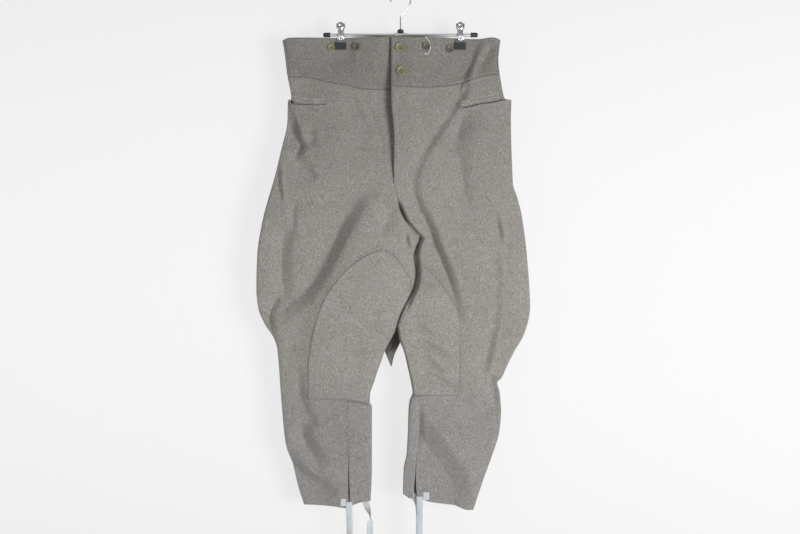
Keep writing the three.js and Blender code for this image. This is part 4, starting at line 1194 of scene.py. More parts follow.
@dataclass(frozen=True)
class SewnCloth:
    """How a cloth piece is finished at its edges, and its thickness."""

    thickness: float = 0.002
    lift: float = 0.0  # from the form's outer face to the piece's inner face, where the piece lies on another
    roll_depth: float = 0.0008
    roll_reach: float = 0.0013
    swell: float = 0.00035
    swell_place: float = 0.0042
    swell_reach: float = 0.0026
    pucker: float = 0.0085  # length of one pucker of the seam's thread
    gather: float = 0.35  # how much the swell varies from pucker to pucker
    wander: float = 3.0  # how unevenly the puckers follow each other, in radians
    wander_rate: float = 41.0  # and how fast that changes, in radians to the metre
    # The darkened borders' mask and its reach: soiling of pressed nap, and painted shade of the seam's groove.
    soil_and_shade_reach: float = 0.0016
    rolled: tuple[Border, ...] = (Border.TOP, Border.FOOT, Border.START, Border.END)
    flat: tuple[Border, ...] = ()  # borders whose seam is pressed flat, so that they hardly show
    flat_share: float = 0.3
    soiled_and_shaded: tuple[Border, ...] = (Border.TOP,)

    def build(self, name: str, grid: ClothGrid) -> Object:
        """Makes the piece: its outer face dips at each sewn edge and swells over the turned-in cloth behind it.

        Args:
            name: the piece's name.
            grid: its rows and columns.

        Returns:
            The object, a closed shell.
        """
        on_top = self.lift > 0
        outer = grid.face(-self.lift - self.thickness if on_top else 0.0)
        inner = grid.face(-self.lift if on_top else self.thickness)
        normal = unit(np.cross(np.gradient(outer, axis=1), np.gradient(outer, axis=0)))
        if (normal * (outer - inner)).sum() < 0:
            normal = -normal
        from_top, from_start = run(outer, 0), run(outer, 1)
        distance = {Border.TOP: from_top, Border.FOOT: from_top[-1:] - from_top,
                    Border.START: from_start, Border.END: from_start[:, -1:] - from_start}
        along = {Border.TOP: from_start, Border.FOOT: from_start, Border.START: from_top, Border.END: from_top}
        shift = np.zeros(outer.shape[:2])
        # Soiling and painted shade: a mask that darkens the wool along the chosen borders, for pressed, soiled nap and
        # for the shade in the seam's groove.
        soil_and_shade = np.zeros(outer.shape[:2])
        for border in self.soiled_and_shaded:
            soil_and_shade = np.maximum(soil_and_shade, bump(distance[border], self.soil_and_shade_reach))
        for border in self.rolled:
            way = along[border]
            gathers = 1 + self.gather * np.cos(way * TURN / self.pucker + self.wander * np.sin(way * self.wander_rate))
            swell = self.swell * gathers * bump(distance[border] - self.swell_place, self.swell_reach)
            dip = self.roll_depth * bump(distance[border], self.roll_reach)
            shift += (swell - dip) * (self.flat_share if border in self.flat else 1.0)
        raised = np.broadcast_to(np.asarray(grid.raised, float), shift.shape)[..., None] * normal
        uv = np.stack([from_start, from_top], axis=-1)
        return shell(name, outer + raised + shift[..., None] * normal, inner + raised, grid.keep, uv, soil_and_shade=soil_and_shade)


@dataclass(frozen=True)
class PanelRows:
    """The rows that the front, back and shin share, from the waist seam to the hem."""

    grid: float = 0.003
    fine: tuple[float, ...] = (0.0005, 0.0012, 0.0022, 0.0036)
    mouth_border: float = 0.01
    mouth_row: int = 2
    knee_row: int = 26
    last_row: int = 32

    def heights(self, side: Side, s: Array) -> Array:
        """Heights of all the panel's own rows at shares s, one layer for each row.

        Args:
            side: the wearer's right or left.
            s: shares of the way from the inner line to the outline.

        Returns:
            The rows' heights, with the rows first.
        """
        share = np.abs(s)
        mouth = MOUTH[side](share)
        rows = [WAIST_SEAM[side](share) - FORM.seam / 2, mouth + self.mouth_border,
                mouth + 0.001, mouth + 0.001 - GAPE[side](share)]
        rows += [np.full_like(share, z) for z in LEVELS]
        rows += [KNEE[side](share)] + [np.full_like(share, z) for z in SHIN_LEVELS] + [HEM[side](share)]
        return np.stack(rows)

    def plan(self, side: Side, start: int = 0, end: int | None = None, at: float = 0.6) -> tuple[Array, Array, Array]:
        """Cuts each of the rows' stretches into even steps, finer beside the seams.

        Args:
            side: the wearer's right or left.
            start: the first of the panel's rows.
            end: the last one.
            at: the share at which the rows' heights are taken.

        Returns:
            For each fine row: which stretch it lies in, its share of the way down it, and its height.
        """
        end = self.last_row if end is None else end
        height = self.heights(side, np.asarray(at))
        spots = []
        for k in range(start, end):
            span = height[k] - height[k + 1]
            shares = list(np.linspace(0, 1, max(1, round(span / self.grid)) + 1)[:-1])
            if k in (0, self.mouth_row + 1, self.knee_row):
                shares += [d / span for d in self.fine]
            if k + 1 in (self.mouth_row, self.knee_row, self.last_row):
                shares += [1 - d / span for d in self.fine]
            spots += [(k, share) for share in sorted(shares)]
        spots.append((end - 1, 1.0))
        stretch, share = np.array([s[0] for s in spots]), np.array([s[1] for s in spots])
        return stretch, share, lerp(height[stretch], height[stretch + 1], share)

    def place(self, side: Side, s: Array, stretch: Array, share: Array) -> Array:
        """Heights of the fine rows at shares s, (rows, columns).

        Args:
            side: the wearer's right or left.
            s: shares across, one row of them for each fine row.
            stretch: which stretch each fine row lies in.
            share: its share of the way down that stretch.

        Returns:
            The heights, of the same shape as s.
        """
        heights = self.heights(side, s)
        row = np.arange(len(stretch))
        return lerp(heights[stretch, row], heights[stretch + 1, row], share[:, None])


ROWS = PanelRows()


FREE_FOOT = (Border.TOP, Border.START, Border.END)


@dataclass(frozen=True)
class ClothPart:
    """A sewn part on one side of the garment, with its own rows and columns."""

    side: Side
    part: ClassVar[str]
    sewing: ClassVar[SewnCloth] = SewnCloth()

    def grid(self) -> ClothGrid:
        """The part's rows and columns."""
        raise NotImplementedError

    def shape(self, name: str) -> Object:
        """The part's closed shell."""
        return self.sewing.build(name, self.grid())

    def build(self, finish: Material) -> Object:
        """The dressed part."""
        name = f"{self.part}_{self.side.value}"
        return dress(self.shape(f"{name}_cloth"), Slot.WOOL, finish, name)


@dataclass(frozen=True)
class FrontPanel(ClothPart):
    """One front panel: cut open along the pocket's mouth, and without the inner shin below the knee."""

    part = "front"
    sewing = SewnCloth(rolled=FREE_FOOT, flat=(Border.END,))
    columns: int = 46
    underlap: float = -0.03
    underlap_rise: float = 0.012
    lip_height: float = 0.0022
    lip_reach: float = 0.0075
    flare_out: float = 0.0035  # how far the pocket's outer corner gapes
    grooves: Span = (0.006, 0.0115)  # heights of the stitched grooves over the mouth
    groove_depth: float = 0.0004
    groove_reach: float = 0.0012

    def shares(self, level: Array, below_knee: Array) -> tuple[Array, Array]:
        """Shares of the columns on rows at these heights, the inner ones and then the outer ones.

        Args:
            level: the rows' heights.
            below_knee: True for each row that stops at the shin seam.

        Returns:
            The inner columns' shares and the outer ones', each (rows, columns).
        """
        first = np.zeros_like(level)
        if self.side is Side.RIGHT:
            first = self.underlap * np.clip((level - FORM.fly_end) / self.underlap_rise, 0, 1)
        seam = FORM.as_share(self.side, level, FORM.seam / 2)
        middle = FORM.break_share(self.side, level) + below_knee * FORM.shin_gap(self.side, level)
        last = FORM.seam_share(self.side, level) - seam
        t = crowd(self.columns)[None, :]
        return lerp(first[:, None], middle[:, None], t), lerp(middle[:, None], last[:, None], t)

    def grid(self) -> ClothGrid:
        """The panel's rows and columns, with its pocket lip raised."""
        stretch, share, level = ROWS.plan(self.side)
        inner, outer = self.shares(level, level < SHIN_STARTS)
        s = np.hstack([inner, outer[:, 1:]])
        z = ROWS.place(self.side, s, stretch, share)
        column = np.arange(s.shape[1] - 1)[None, :]
        row = stretch[:-1, None]
        in_mouth = (row == ROWS.mouth_row) & (column >= self.columns)
        in_shin = (row >= ROWS.knee_row) & (column < self.columns)
        return ClothGrid(self.side, np.zeros(s.shape, bool), s, z, ~in_mouth & ~in_shin, self.lip(s, z))

    def lip(self, s: Array, z: Array) -> Array:
        """How far the pocket's lower lip stands out, and the two stitched grooves of its upper one sink in.

        Args:
            s: shares across.
            z: heights, of the same shape.

        Returns:
            The rise off the form at each place.
        """
        mouth = MOUTH[self.side](s)
        beyond = ramp(s, POCKET_END[self.side] - 0.01, POCKET_END[self.side] + 0.1)
        under = np.clip(mouth - z, 0, None)
        over = np.clip(z - mouth, 0, None)
        corner = ramp(s, 0.86, 1.0) * self.flare_out
        lower = (self.lip_height + corner) * bump(under, self.lip_reach) * (z < mouth)
        grooves = self.groove_depth * sum(bump(over - at, self.groove_reach) for at in self.grooves) * (z > mouth)
        return beyond * (lower - grooves)


@dataclass(frozen=True)
class BackPanel(ClothPart):
    """One back panel, from the side seam in front, round the outline, to the back's centre seam and inseam."""

    part = "back"
    sewing = SewnCloth(rolled=FREE_FOOT, flat=(Border.START,))
    wrap_columns: int = 16
    back_columns: int = 84

    def shares(self, level: Array, closed: Array) -> tuple[Array, Array]:
        """Shares of the columns, those wrapped round to the front and then those of the back.

        Args:
            level: the rows' heights.
            closed: how far the section has closed into a leg at each row.

        Returns:
            The wrapped columns' shares and the back ones', each (rows, columns).
        """
        seam = FORM.seam_share(self.side, level) + FORM.as_share(self.side, level, FORM.seam / 2)
        wrapped = lerp(seam[:, None], 1.0, crowd(self.wrap_columns)[None, :])
        t = np.linspace(0, 1, self.back_columns + 1)[None, :]
        behind = lerp(np.cos(t * math.pi / 2), (1 + np.cos(t * math.pi)) / 2, closed[:, None])
        return wrapped, behind

    def grid(self) -> ClothGrid:
        """The panel's rows and columns."""
        stretch, share, level = ROWS.plan(self.side, at=1.0)
        wrapped, behind = self.shares(level, CLOSED(level))
        s = np.clip(np.hstack([wrapped, behind[:, 1:]]), 0, 1)
        back = np.zeros(s.shape, bool)
        back[:, self.wrap_columns + 1:] = True
        return ClothGrid(self.side, back, s, ROWS.place(self.side, s, stretch, share))


@dataclass(frozen=True)
class Waistband(ClothPart):
    """One of the waistband's four parts; the right front one runs on under the fly."""

    sewing = SewnCloth(soiled_and_shaded=())
    back: bool
    rows: int = 34
    underlap_columns: int = 14
    underlap: float = -0.19
    underlap_seam: float = -0.03

    def grid(self) -> ClothGrid:
        """The part's rows and columns, which stand on those of the panel below it."""
        level = ROWS.heights(self.side, np.asarray(1.0 if self.back else 0.6))[:1]
        if self.back:
            wrapped, behind = BackPanel(self.side).shares(level, CLOSED(level))
            s = np.clip(np.hstack([wrapped, behind[:, 1:]]), 0, 1)
            back = np.arange(s.shape[1]) > BackPanel(self.side).wrap_columns
        else:
            inner, outer = FrontPanel(self.side).shares(level, np.zeros(1))
            s = np.hstack([inner, outer[:, 1:]])
            if self.side is Side.RIGHT:
                under = np.linspace(self.underlap, self.underlap_seam, self.underlap_columns, endpoint=False)
                s = np.hstack([under[None, :], s])
            back = np.zeros(s.shape[1], bool)
        s = np.repeat(s, self.rows + 1, axis=0)
        top, foot = WAIST_TOP[self.side](np.abs(s)), WAIST_SEAM[self.side](np.abs(s)) + FORM.seam / 2
        z = lerp(top, foot, crowd(self.rows)[:, None])
        return ClothGrid(self.side, np.broadcast_to(back, s.shape), s, z)

    @property
    def part(self) -> str:
        """The name of this part on both sides."""
        return "waistband_back" if self.back else "waistband_front"


@dataclass(frozen=True)
class ShinPanel(ClothPart):
    """The inner shin, from the knee seam to the hem, with the slit's edge along the front panel."""

    part = "shin_inner"
    sewing = SewnCloth(rolled=FREE_FOOT, flat=(Border.TOP, Border.END))
    columns: int = 40

    def grid(self) -> ClothGrid:
        """The panel's rows and columns."""
        stretch, share, level = ROWS.plan(self.side, start=ROWS.knee_row, at=0.2)
        end = FORM.break_share(self.side, level) - FORM.shin_gap(self.side, level)
        s = end[:, None] * crowd(self.columns)[None, :]
        z = ROWS.place(self.side, s, stretch, share)
        z = z - FORM.seam * (1 - ramp(z.max() - z, 0.0, 0.004))
        return ClothGrid(self.side, np.zeros(s.shape, bool), s, z)


@dataclass(frozen=True)
class PocketFacing(ClothPart):
    """The strip of cloth behind the pocket's mouth."""

    part = "pocket_facing"
    columns: int = 40
    rows: int = 12
    thickness: float = 0.0015
    hollow: float = 0.0035
    foot: float = -0.252

    def grid(self) -> ClothGrid:
        """The strip's rows and columns, a little wider than the mouth."""
        level = ROWS.heights(self.side, np.asarray(0.6))[3:4]
        inner, outer = FrontPanel(self.side).shares(level, np.zeros(1))
        s = np.linspace(lerp(inner[0, 0], inner[0, -1], 5 / 6), outer[0, -1], self.columns + 1)
        s = np.repeat(s[None, :], self.rows + 1, axis=0)
        z = lerp(MOUTH[self.side](s) + ROWS.mouth_border, self.foot, np.linspace(0, 1, self.rows + 1)[:, None])
        return ClothGrid(self.side, np.zeros(s.shape, bool), s, z)

    def shape(self, name: str) -> Object:
        """A thin strip under the form's own cloth, with nothing sewn."""
        grid = self.grid()
        under = FORM.cloth + self.hollow
        return shell(name, grid.face(under), grid.face(under + self.thickness))


@dataclass(frozen=True)
class ButtonStand:
    """The strip under the fly's edge, from the waist seam to the fly's foot."""

    columns: int = 14
    rows: int = 60
    first: float = -0.19
    foot: float = -0.372

    def build(self, finish: Material) -> Object:
        """The dressed strip."""
        last = -0.03 - float(FORM.as_share(Side.RIGHT, np.asarray(FORM.fly_end), FORM.seam))
        s = np.repeat(np.linspace(self.first, last, self.columns + 1)[None, :], self.rows + 1, axis=0)
        top = WAIST_SEAM[Side.RIGHT](np.abs(s)) - FORM.seam / 2
        z = lerp(top, self.foot, np.linspace(0, 1, self.rows + 1)[:, None])
        grid = ClothGrid(Side.RIGHT, np.zeros(s.shape, bool), s, z)
        return dress(SewnCloth().build("fly_button_stand_cloth", grid), Slot.WOOL, finish, "fly_button_stand")


@dataclass(frozen=True)
class KneePatch(ClothPart):
    """The patch inside the knee: an arch at the top, one edge down the inseam, and its foot in the knee seam."""

    part = "knee_patch"
    sewing = SewnCloth(thickness=0.0013, lift=0.0002, roll_depth=0.0009, roll_reach=0.0012, swell=0.0003,
                       swell_place=0.0052, soiled_and_shaded=(Border.FOOT, Border.START, Border.END))
    rows: int = 108
    columns: int = 64
    arch: float = 0.00002  # how far below the arch's top its first row lies
    foot_place: float = 0.25  # share at which the foot's own height is taken
    foot_gap: float = 0.0006  # from the foot to the knee seam
    sag: float = 0.02  # height over which the rows bend to the knee seam's line
    inseam_gap: float = 0.003

    def edges(self, z: Array) -> tuple[Array, Array]:
        """Places x of the inner and outer edge at heights z, curves of the root of the depth below the arch.

        Args:
            z: heights from the arch's top down.

        Returns:
            The inner and the outer places.
        """
        table = ARCHES[self.side]
        root = np.sqrt(np.clip(table[0][0] - z, 0, None))
        knots = [(math.sqrt(table[0][0] - row[0]), row[1], row[2]) for row in table]
        return Curve(knots, 1)(root), Curve(knots, 2)(root)

    def grid(self) -> ClothGrid:
        """The patch's rows, which crowd towards the arch's top, and its columns, which crowd towards its edges."""
        top = ARCHES[self.side][0][0]
        t = np.linspace(0, 1, self.rows + 1)[:, None]
        foot = float(KNEE[self.side](self.foot_place)) + self.foot_gap
        z = lerp(top - self.arch, foot, lerp(t * t, t, 0.55))
        inner, outer = self.edges(z)
        inseam = FORM.inner_line(self.side, z) + self.side.out * self.inseam_gap
        inner = np.where(self.side.out * (inner - inseam) < 0, inseam, inner)
        x = lerp(inner, outer, crowd(self.columns)[None, :])
        z = np.broadcast_to(z, x.shape)
        s = FORM.share_at(self.side, x, z)
        sag = KNEE[self.side](np.abs(s)) - foot + self.foot_gap
        z = z + sag * ramp(-z, -(foot + self.sag), -foot)
        return ClothGrid(self.side, np.zeros(s.shape, bool), s, z)


# ---- tie tapes


@dataclass(frozen=True)
class TieTape:
    """One free tape: a flat strip along its route, turned about it, with its real length and width."""

    name: str
    route: Rows  # x, y and z in millimetres, and the turn about the route in degrees
    width: float = 0.0125
    thickness: float = 0.0007
    steps: int = 16
    across: int = 10
    cup: float = 0.0006
    waves: Rows = ((0.0003, TURN / 0.037), (0.0002, 310.0))  # heights, and radians to the metre

    def build(self, finish: Material) -> Object:
        """The dressed tape, a flat rounded section carried along the route, slightly cupped across."""
        line = smooth_path([row[:3] for row in self.route], self.steps) * MM
        tangent = unit(np.gradient(line, axis=0))
        turn_at = Curve([(i / (len(self.route) - 1), row[3]) for i, row in enumerate(self.route)])
        t = np.linspace(0, 1, len(line))
        angle = np.radians(turn_at(t))[:, None]
        flat = unit(np.cross(tangent, (0.0, 1.0, 0.0)))
        width = flat * np.cos(angle) + np.cross(tangent, flat) * np.sin(angle)
        off = unit(np.cross(width, tangent))
        u = np.linspace(-1, 1, self.across + 1)
        half = self.width / 2
        length = run(line)
        wave = sum(height * np.sin(length * rate)[:, None] for height, rate in self.waves)
        cupped = self.cup * (u ** 2)[None, :] + wave * u[None, :]
        edge = self.thickness / 2 * (1 - 0.25 * u ** 8)
        rings = []
        for sign, order in ((1, slice(None)), (-1, slice(None, None, -1))):
            lift = cupped + sign * edge[None, :]
            face = line[:, None] + width[:, None] * (u * half)[None, :, None] + off[:, None] * lift[..., None]
            rings.append(face[:, order])
        rings = np.concatenate(rings, axis=1)
        ring_u = np.concatenate([u, u[::-1]]) * half
        uv = np.stack(np.broadcast_arrays(ring_u, length[:, None]), -1)
        piece = dress(tube(f"{self.name}_cloth", rings, uv, crisp=70), Slot.TAPE, finish, self.name)
        return piece


TAPES = (
    TieTape("tie_tape_right_outer", ((-102.2, -15.4, -1021, 0), (-102, -15.6, -1036, 0), (-101.5, -14, -1058, 8),
        (-101, -13, -1100, 20), (-99, -12.5, -1160, -15), (-101, -12, -1220, 10), (-103, -12, -1275, 0))),
    TieTape("tie_tape_right_inner", ((-74, -5.4, -1012, -12), (-67, -4, -1032, 15), (-61, -4, -1052, 80),
        (-61, -4, -1070, 170), (-62, -4, -1130, 180), (-59, -4, -1190, 200), (-60, -4, -1255, 180))),
    TieTape("tie_tape_left_outer", ((38.4, -15.6, -1010, 0), (38.2, -15.6, -1024, 10), (38, -15, -1040, 10),
        (38, -14.4, -1090, 0), (40, -14, -1150, 15), (37, -14, -1210, -10), (38, -14, -1262, 0))),
    TieTape("tie_tape_left_inner", ((12, -3.8, -1000, 0), (25, -7, -1010, 0), (35, -8, -1026, 0),
        (37, -8.5, -1050, 10), (36, -8, -1110, 20), (34, -8, -1170, -10), (36, -8, -1235, 0))),
)


@dataclass(frozen=True)
class TapeEnd:
    """The square end of a tape, sewn flat on the front's hem."""

    side: Side
    start: float
    end: float
    top: float
    foot: float
    thickness: float = 0.001
    edge_share: float = 0.55
    edge_reach: float = 0.0022

    def build(self, finish: Material) -> Object:
        """The dressed end, a small plate over the cloth."""
        x, z = np.meshgrid(np.linspace(self.start, self.end, 9), np.linspace(self.top, self.foot, 11))
        base = FORM.on_front(x, z)
        normal = FORM.front_normal(x, z)
        edge = np.minimum(np.minimum(x - self.start, self.end - x), np.minimum(self.top - z, z - self.foot))
        puffed = self.thickness * lerp(self.edge_share, 1.0, ramp(edge, 0.0, self.edge_reach))
        outer = base + normal * (FORM.seam + puffed)[..., None]
        name = f"tape_end_{self.side.value}"
        uv = np.stack([x, z], -1)
        piece = shell(f"{name}_cloth", outer, base + normal * FORM.seam, uv=uv)
        return dress(piece, Slot.TAPE, finish, name)


TAPE_ENDS = (TapeEnd(Side.RIGHT, -0.119, -0.109, -1.014, -1.029), TapeEnd(Side.LEFT, 0.045, 0.057, -1.002, -1.017))


# ---- small pieces of the cloth


@dataclass(frozen=True)
class SeatFold:
    """The fold of the seat that hangs between the thighs, narrowing to its tip."""

    path: Rows = ((-3, -636, 16, 13), (-10, -668, 18, 17), (-14.5, -693, 19, 18.5), (-19, -712, 19, 16),
                  (-20.5, -728, 18, 9.5), (-19.7, -742, 17, 4.5), (-18.5, -753, 16, 1.2))
    # The path: x, z, y and half width, in millimetres.
    depth: float = 0.009
    columns: int = 40
    opening: float = 0.1  # share of the turn left open at the back
    thickness: float = 0.0018
    least: float = 0.35  # share of its width and depth that the inner face keeps at the tip
    crease: Triple = (0.25, 0.22, 0.35)  # place and reach across, as shares of the half width, and share of the depth
    lit_foot: float = -0.70512  # height above which the fold is darkened as a painted shadow of the thighs, at x = 0
    lit_slope: float = 0.9
    lit_edge: float = 0.003

    def build(self, finish: Material) -> Object:
        """The dressed fold: a cloth gutter of a lens section, open at the back, with a shallow crease in front and a
        painted shadow on its upper part.
        """
        rows = smooth_path(self.path, 12) * MM
        turn = (0.25 + self.opening / 2 + np.linspace(0, 1 - self.opening, self.columns + 1)[None, :]) * TURN
        x, z, y, half = (rows[:, i:i + 1] for i in range(4))
        depth = self.depth * np.sqrt(half / (self.path[1][3] * MM))
        place, reach, share = self.crease
        crease = 1 - share * bump(np.cos(turn) - place, reach) * (np.sin(turn) < 0)
        faces = []
        for inset in (0.0, self.thickness):
            wide, deep = (np.maximum(size - inset, self.least * size) for size in (half, depth))
            faces.append(np.stack([x + np.cos(turn) * wide, y + np.sin(turn) * deep * crease, z + 0 * turn], -1))
        uv = np.stack([turn * half, z + 0 * turn], -1)
        # Painted shadow: the mask is 1 above a slanting line, where the thighs' shadow falls on the fold.
        shade = ramp(z - (self.lit_foot + self.lit_slope * faces[0][..., 0]), -self.lit_edge, self.lit_edge)
        return dress(shell("seat_fold_cloth", *faces, uv=uv, crisp=75, soil_and_shade=shade), Slot.WOOL, finish)


@dataclass(frozen=True)
class Button:
    """A sewn button: a dished disc with a raised rim and four holes, on the front's surface."""

    name: str
    x: float
    z: float
    diameter: float
    slot: Slot
    lift: float = 0.0005
    turn: float = 20.0
    around: int = 64
    hole_place: float = 0.0017
    hole_radius: float = 0.00085
    # The profile's radius, as a share of the whole, and its height in millimetres: the back, the rim and the dish.
    profile: Rows = ((0.02, 0), (0.5, 0), (0.8, 0), (0.93, 0.45), (0.985, 1.1), (1.0, 1.5), (0.985, 2.1), (0.95, 2.8),
                     (0.89, 3.1), (0.83, 2.9), (0.77, 2.3), (0.7, 1.6), (0.62, 1.1), (0.54, 0.9),
                     *((share, 0.8) for share in (0.46, 0.4, 0.34, 0.29, 0.25, 0.21, 0.17, 0.13, 0.09, 0.05, 0.01)))
    front_row: int = 9  # the first row of the rim's front
    well: Span = (0.75, 1.25)  # where a hole's wall ends and starts, in its radius
    well_depth: float = 0.0007

    def axes(self) -> tuple[Array, Array, Array, Array]:
        """The button's middle on the cloth, and its directions across, up and off the cloth."""
        x, z = np.asarray(self.x), np.asarray(self.z)
        off = FORM.front_normal(x, z)
        across = unit(np.cross((0.0, 0.0, 1.0), off))
        angle = math.radians(self.turn)
        up = np.cross(off, across)
        across, up = across * math.cos(angle) + up * math.sin(angle), up * math.cos(angle) - across * math.sin(angle)
        return FORM.on_front(x, z) + off * self.lift, across, up, off

    def build(self, finish: Material, thread: Material) -> list[Object]:
        """The dressed button and its thread: rings of the profile, sunk at four wells.

        Args:
            finish: the button's material.
            thread: the sewing thread's material.

        Returns:
            The two pieces.
        """
        middle, across, up, off = self.axes()
        profile = np.array(self.profile)
        radius, height = profile[:, :1] * self.diameter / 2, profile[:, 1:] * MM
        turn = angles(self.around)[None, :]
        flat_x, flat_y = radius * np.cos(turn), radius * np.sin(turn)
        top = np.arange(len(radius))[:, None] >= self.front_row
        inner, outer = (share * self.hole_radius for share in self.well)
        deep = np.zeros_like(flat_x)
        for sx in (-1, 1):
            for sy in (-1, 1):
                away = np.hypot(flat_x - sx * self.hole_place, flat_y - sy * self.hole_place)
                deep += 1 - ramp(away, inner, outer)
        rise = height - np.clip(deep, 0, 1) * self.well_depth * top
        rings = middle + flat_x[..., None] * across + flat_y[..., None] * up + rise[..., None] * off
        ring = np.stack([radius / self.diameter * 2 + 0 * turn, 0 * radius + turn], -1)
        body = dress(tube(f"{self.name}_horn", rings, ring, crisp=60), self.slot, finish, self.name)
        shape, quads = spindle(2 * self.hole_place + 0.0006, 0.0009, 0.0009, sides=8, rings=9)
        places = np.stack([middle + side * up * self.hole_place + off * 0.001 for side in (-1, 1)])
        threads = copies(f"{self.name}_thread", shape, quads, places, np.stack([across] * 2), np.stack([off] * 2))
        return [body, dress(threads, self.slot, thread)]


BUTTONS = (
    Button("waist_button_upper", -0.0012, -0.1172, 0.0180, Slot.OLIVE_BUTTON, turn=12),
    Button("waist_button_lower", 0.0010, -0.1650, 0.0180, Slot.OLIVE_BUTTON, turn=35),
    Button("brace_button_1", -0.1382, -0.1160, 0.015, Slot.OLIVE_BUTTON, turn=50),
    Button("brace_button_2", -0.0872, -0.1146, 0.015, Slot.BROWN_BUTTON, lift=0.001, turn=5),
    Button("brace_button_3", 0.0512, -0.1140, 0.016, Slot.BROWN_BUTTON, turn=40),
    Button("brace_button_4", 0.0980, -0.1186, 0.016, Slot.BROWN_BUTTON, turn=25),
)


@dataclass(frozen=True)
class Seamwork:
    """The visible stitches, each row a line of spun thread pressed into the cloth."""

    pitch: float = 0.0034
    stitch: float = 0.0027
    thread: float = 0.00055
    look: float = 0.0004  # how far to each hand of a stitch its line's direction is taken
    cross_stitch: float = 0.0022
    row_ends: Span = (0.02, 0.955)  # share past the pocket's inner end, and the last share
    row_gaps: Span = (0.0055, 0.011)
    bar_place: float = 0.008  # share past the pocket's inner end
    bar_ends: Span = (0.006, -0.004)
    inseam_clear: float = 0.005  # how far from the inseam a patch's edge is free to be sewn
    patch_margin: float = 0.003
    hole_heights: Span = (-0.1166, -0.1652)
    hole_ends: Span = (0.0065, 0.0165)
    hole_gap: float = 0.0012  # from a slit's middle to each worked edge
    hole_bar_x: float = 0.0172
    hole_bar: float = 0.0014  # half the bar across a buttonhole's end

    def spaced(self, line: Array, pitch: float) -> tuple[Array, Array]:
        """Evenly spaced places on a line of (x, z) points, and the line's direction at each.

        Args:
            line: the line's points.
            pitch: the distance from one place to the next.

        Returns:
            The places and the directions, (n, 2) each.
        """
        steps = run(line)
        at = np.arange(pitch / 2, steps[-1], pitch)
        behind, spots, ahead = (np.stack([np.interp(at + off, steps, line[:, i]) for i in (0, 1)], -1)
                                for off in (-self.look, 0.0, self.look))
        return spots, ahead - behind

    def sewn(self, name: str, lines: Sequence[Array], lift: float, finish: Material,
             across: bool = False) -> Object:
        """One joined piece of all the stitches of several lines.

        Args:
            name: the piece's name.
            lines: each line's (x, z) points.
            lift: how far the thread's middle stands off the front's surface.
            finish: the thread's material.
            across: whether the stitches lie across their line, close together, as on a bar or a buttonhole.

        Returns:
            The dressed piece.
        """
        pitch = self.thread * 1.25 if across else self.pitch
        spots, way = (np.concatenate(part) for part in zip(*[self.spaced(line, pitch) for line in lines]))
        if across:
            way = np.stack([-way[:, 1], way[:, 0]], -1)
        places = FORM.on_front(spots[:, 0], spots[:, 1], lift)
        normal = FORM.front_normal(spots[:, 0], spots[:, 1])
        along = np.stack([way[:, 0], np.zeros(len(way)), way[:, 1]], -1)
        along = along - normal * (along * normal).sum(-1, keepdims=True)
        length = self.cross_stitch if across else self.stitch
        shape, quads = spindle(length, self.thread, self.thread, sides=6, rings=5)
        return dress(copies(name, shape, quads, places, along, normal), Slot.WOOL, finish)

    def pocket_rows(self) -> list[Array]:
        """Two rows above each pocket's mouth."""
        first, last = self.row_ends
        return [self.by_mouth(side, np.linspace(POCKET_END[side] + first, last, 40), gap)
                for side in Side for gap in self.row_gaps]

    def by_mouth(self, side: Side, s: Array, gap: Array | float) -> Array:
        """The line that lies over a pocket's mouth by a gap, at shares s."""
        z = MOUTH[side](s) + gap
        return np.stack([FORM.place_x(side, s, z), z], -1)

    def bars(self) -> list[Array]:
        """Short bars at the pockets' inner ends."""
        return [self.by_mouth(side, np.full(2, POCKET_END[side] + self.bar_place), np.array(self.bar_ends))
                for side in Side]

    def patch_rows(self) -> list[Array]:
        """A row inside the edge of each knee patch."""
        lines = []
        for side in Side:
            grid = KneePatch(side).grid()
            x = FORM.place_x(side, grid.share, grid.height)
            inner, outer = np.stack([x[:, 0], grid.height[:, 0]], -1), np.stack([x[:, -1], grid.height[:, -1]], -1)
            free = np.abs(x[:, 0] - FORM.inner_line(side, grid.height[:, 0])) > self.inseam_clear
            edge = np.concatenate([inner[free][::-1], outer[1:]])
            way = unit(np.gradient(edge, axis=0))
            aside = np.stack([way[:, 1], -way[:, 0]], -1) * side.out
            lines.append((edge - aside * self.patch_margin)[2:-2])
        return lines

    def buttonholes(self) -> list[Array]:
        """The worked edges of the two buttonholes of the waistband, above and below each slit."""
        lines = []
        x, end = np.linspace(*self.hole_ends, 12), np.linspace(-self.hole_bar, self.hole_bar, 6)
        for z in self.hole_heights:
            lines += [np.stack([x, z + gap + 0 * x], -1) for gap in (self.hole_gap, -self.hole_gap)]
            lines.append(np.stack([self.hole_bar_x + 0 * end, z + end], -1))
        return lines

    def build(self, finishes: Finishes) -> None:
        """All the rows."""
        self.sewn("pocket_stitches", self.pocket_rows(), 0.0001, finishes.pale_thread)
        self.sewn("bar_tacks", self.bars(), 0.0003, finishes.seam_thread, across=True)
        self.sewn("patch_stitches", self.patch_rows(), 0.0016, finishes.seam_thread)
        self.sewn("buttonhole_stitches", self.buttonholes(), 0.0002, finishes.seam_thread, across=True)


@dataclass(frozen=True)
class LooseThread:
    """A loose end of pale thread by a brace button."""

    path: Rows = ((48.5, -96.5), (51, -97.5), (55.5, -104), (59.2, -113), (58.5, -121.5), (52, -130.5), (47.5, -129))
    radius: float = 0.0008
    around: int = 8

    def build(self, finish: Material) -> Object:
        """The dressed thread, a thin round tube just off the cloth."""
        flat = smooth_path(self.path, 10) * MM
        line = FORM.on_front(flat[:, 0], flat[:, 1], 0.0012)
        way = unit(np.gradient(line, axis=0))
        off = unit(np.cross(way, np.cross((0.0, -1.0, 0.0), way)))
        aside = np.cross(way, off)
        turn = angles(self.around)
        rings = (line[:, None] + self.radius * (np.cos(turn)[None, :, None] * off[:, None]
                                                + np.sin(turn)[None, :, None] * aside[:, None]))
        return dress(tube("loose_thread", rings, crisp=80), Slot.TAPE, finish)


# ---- the hanger


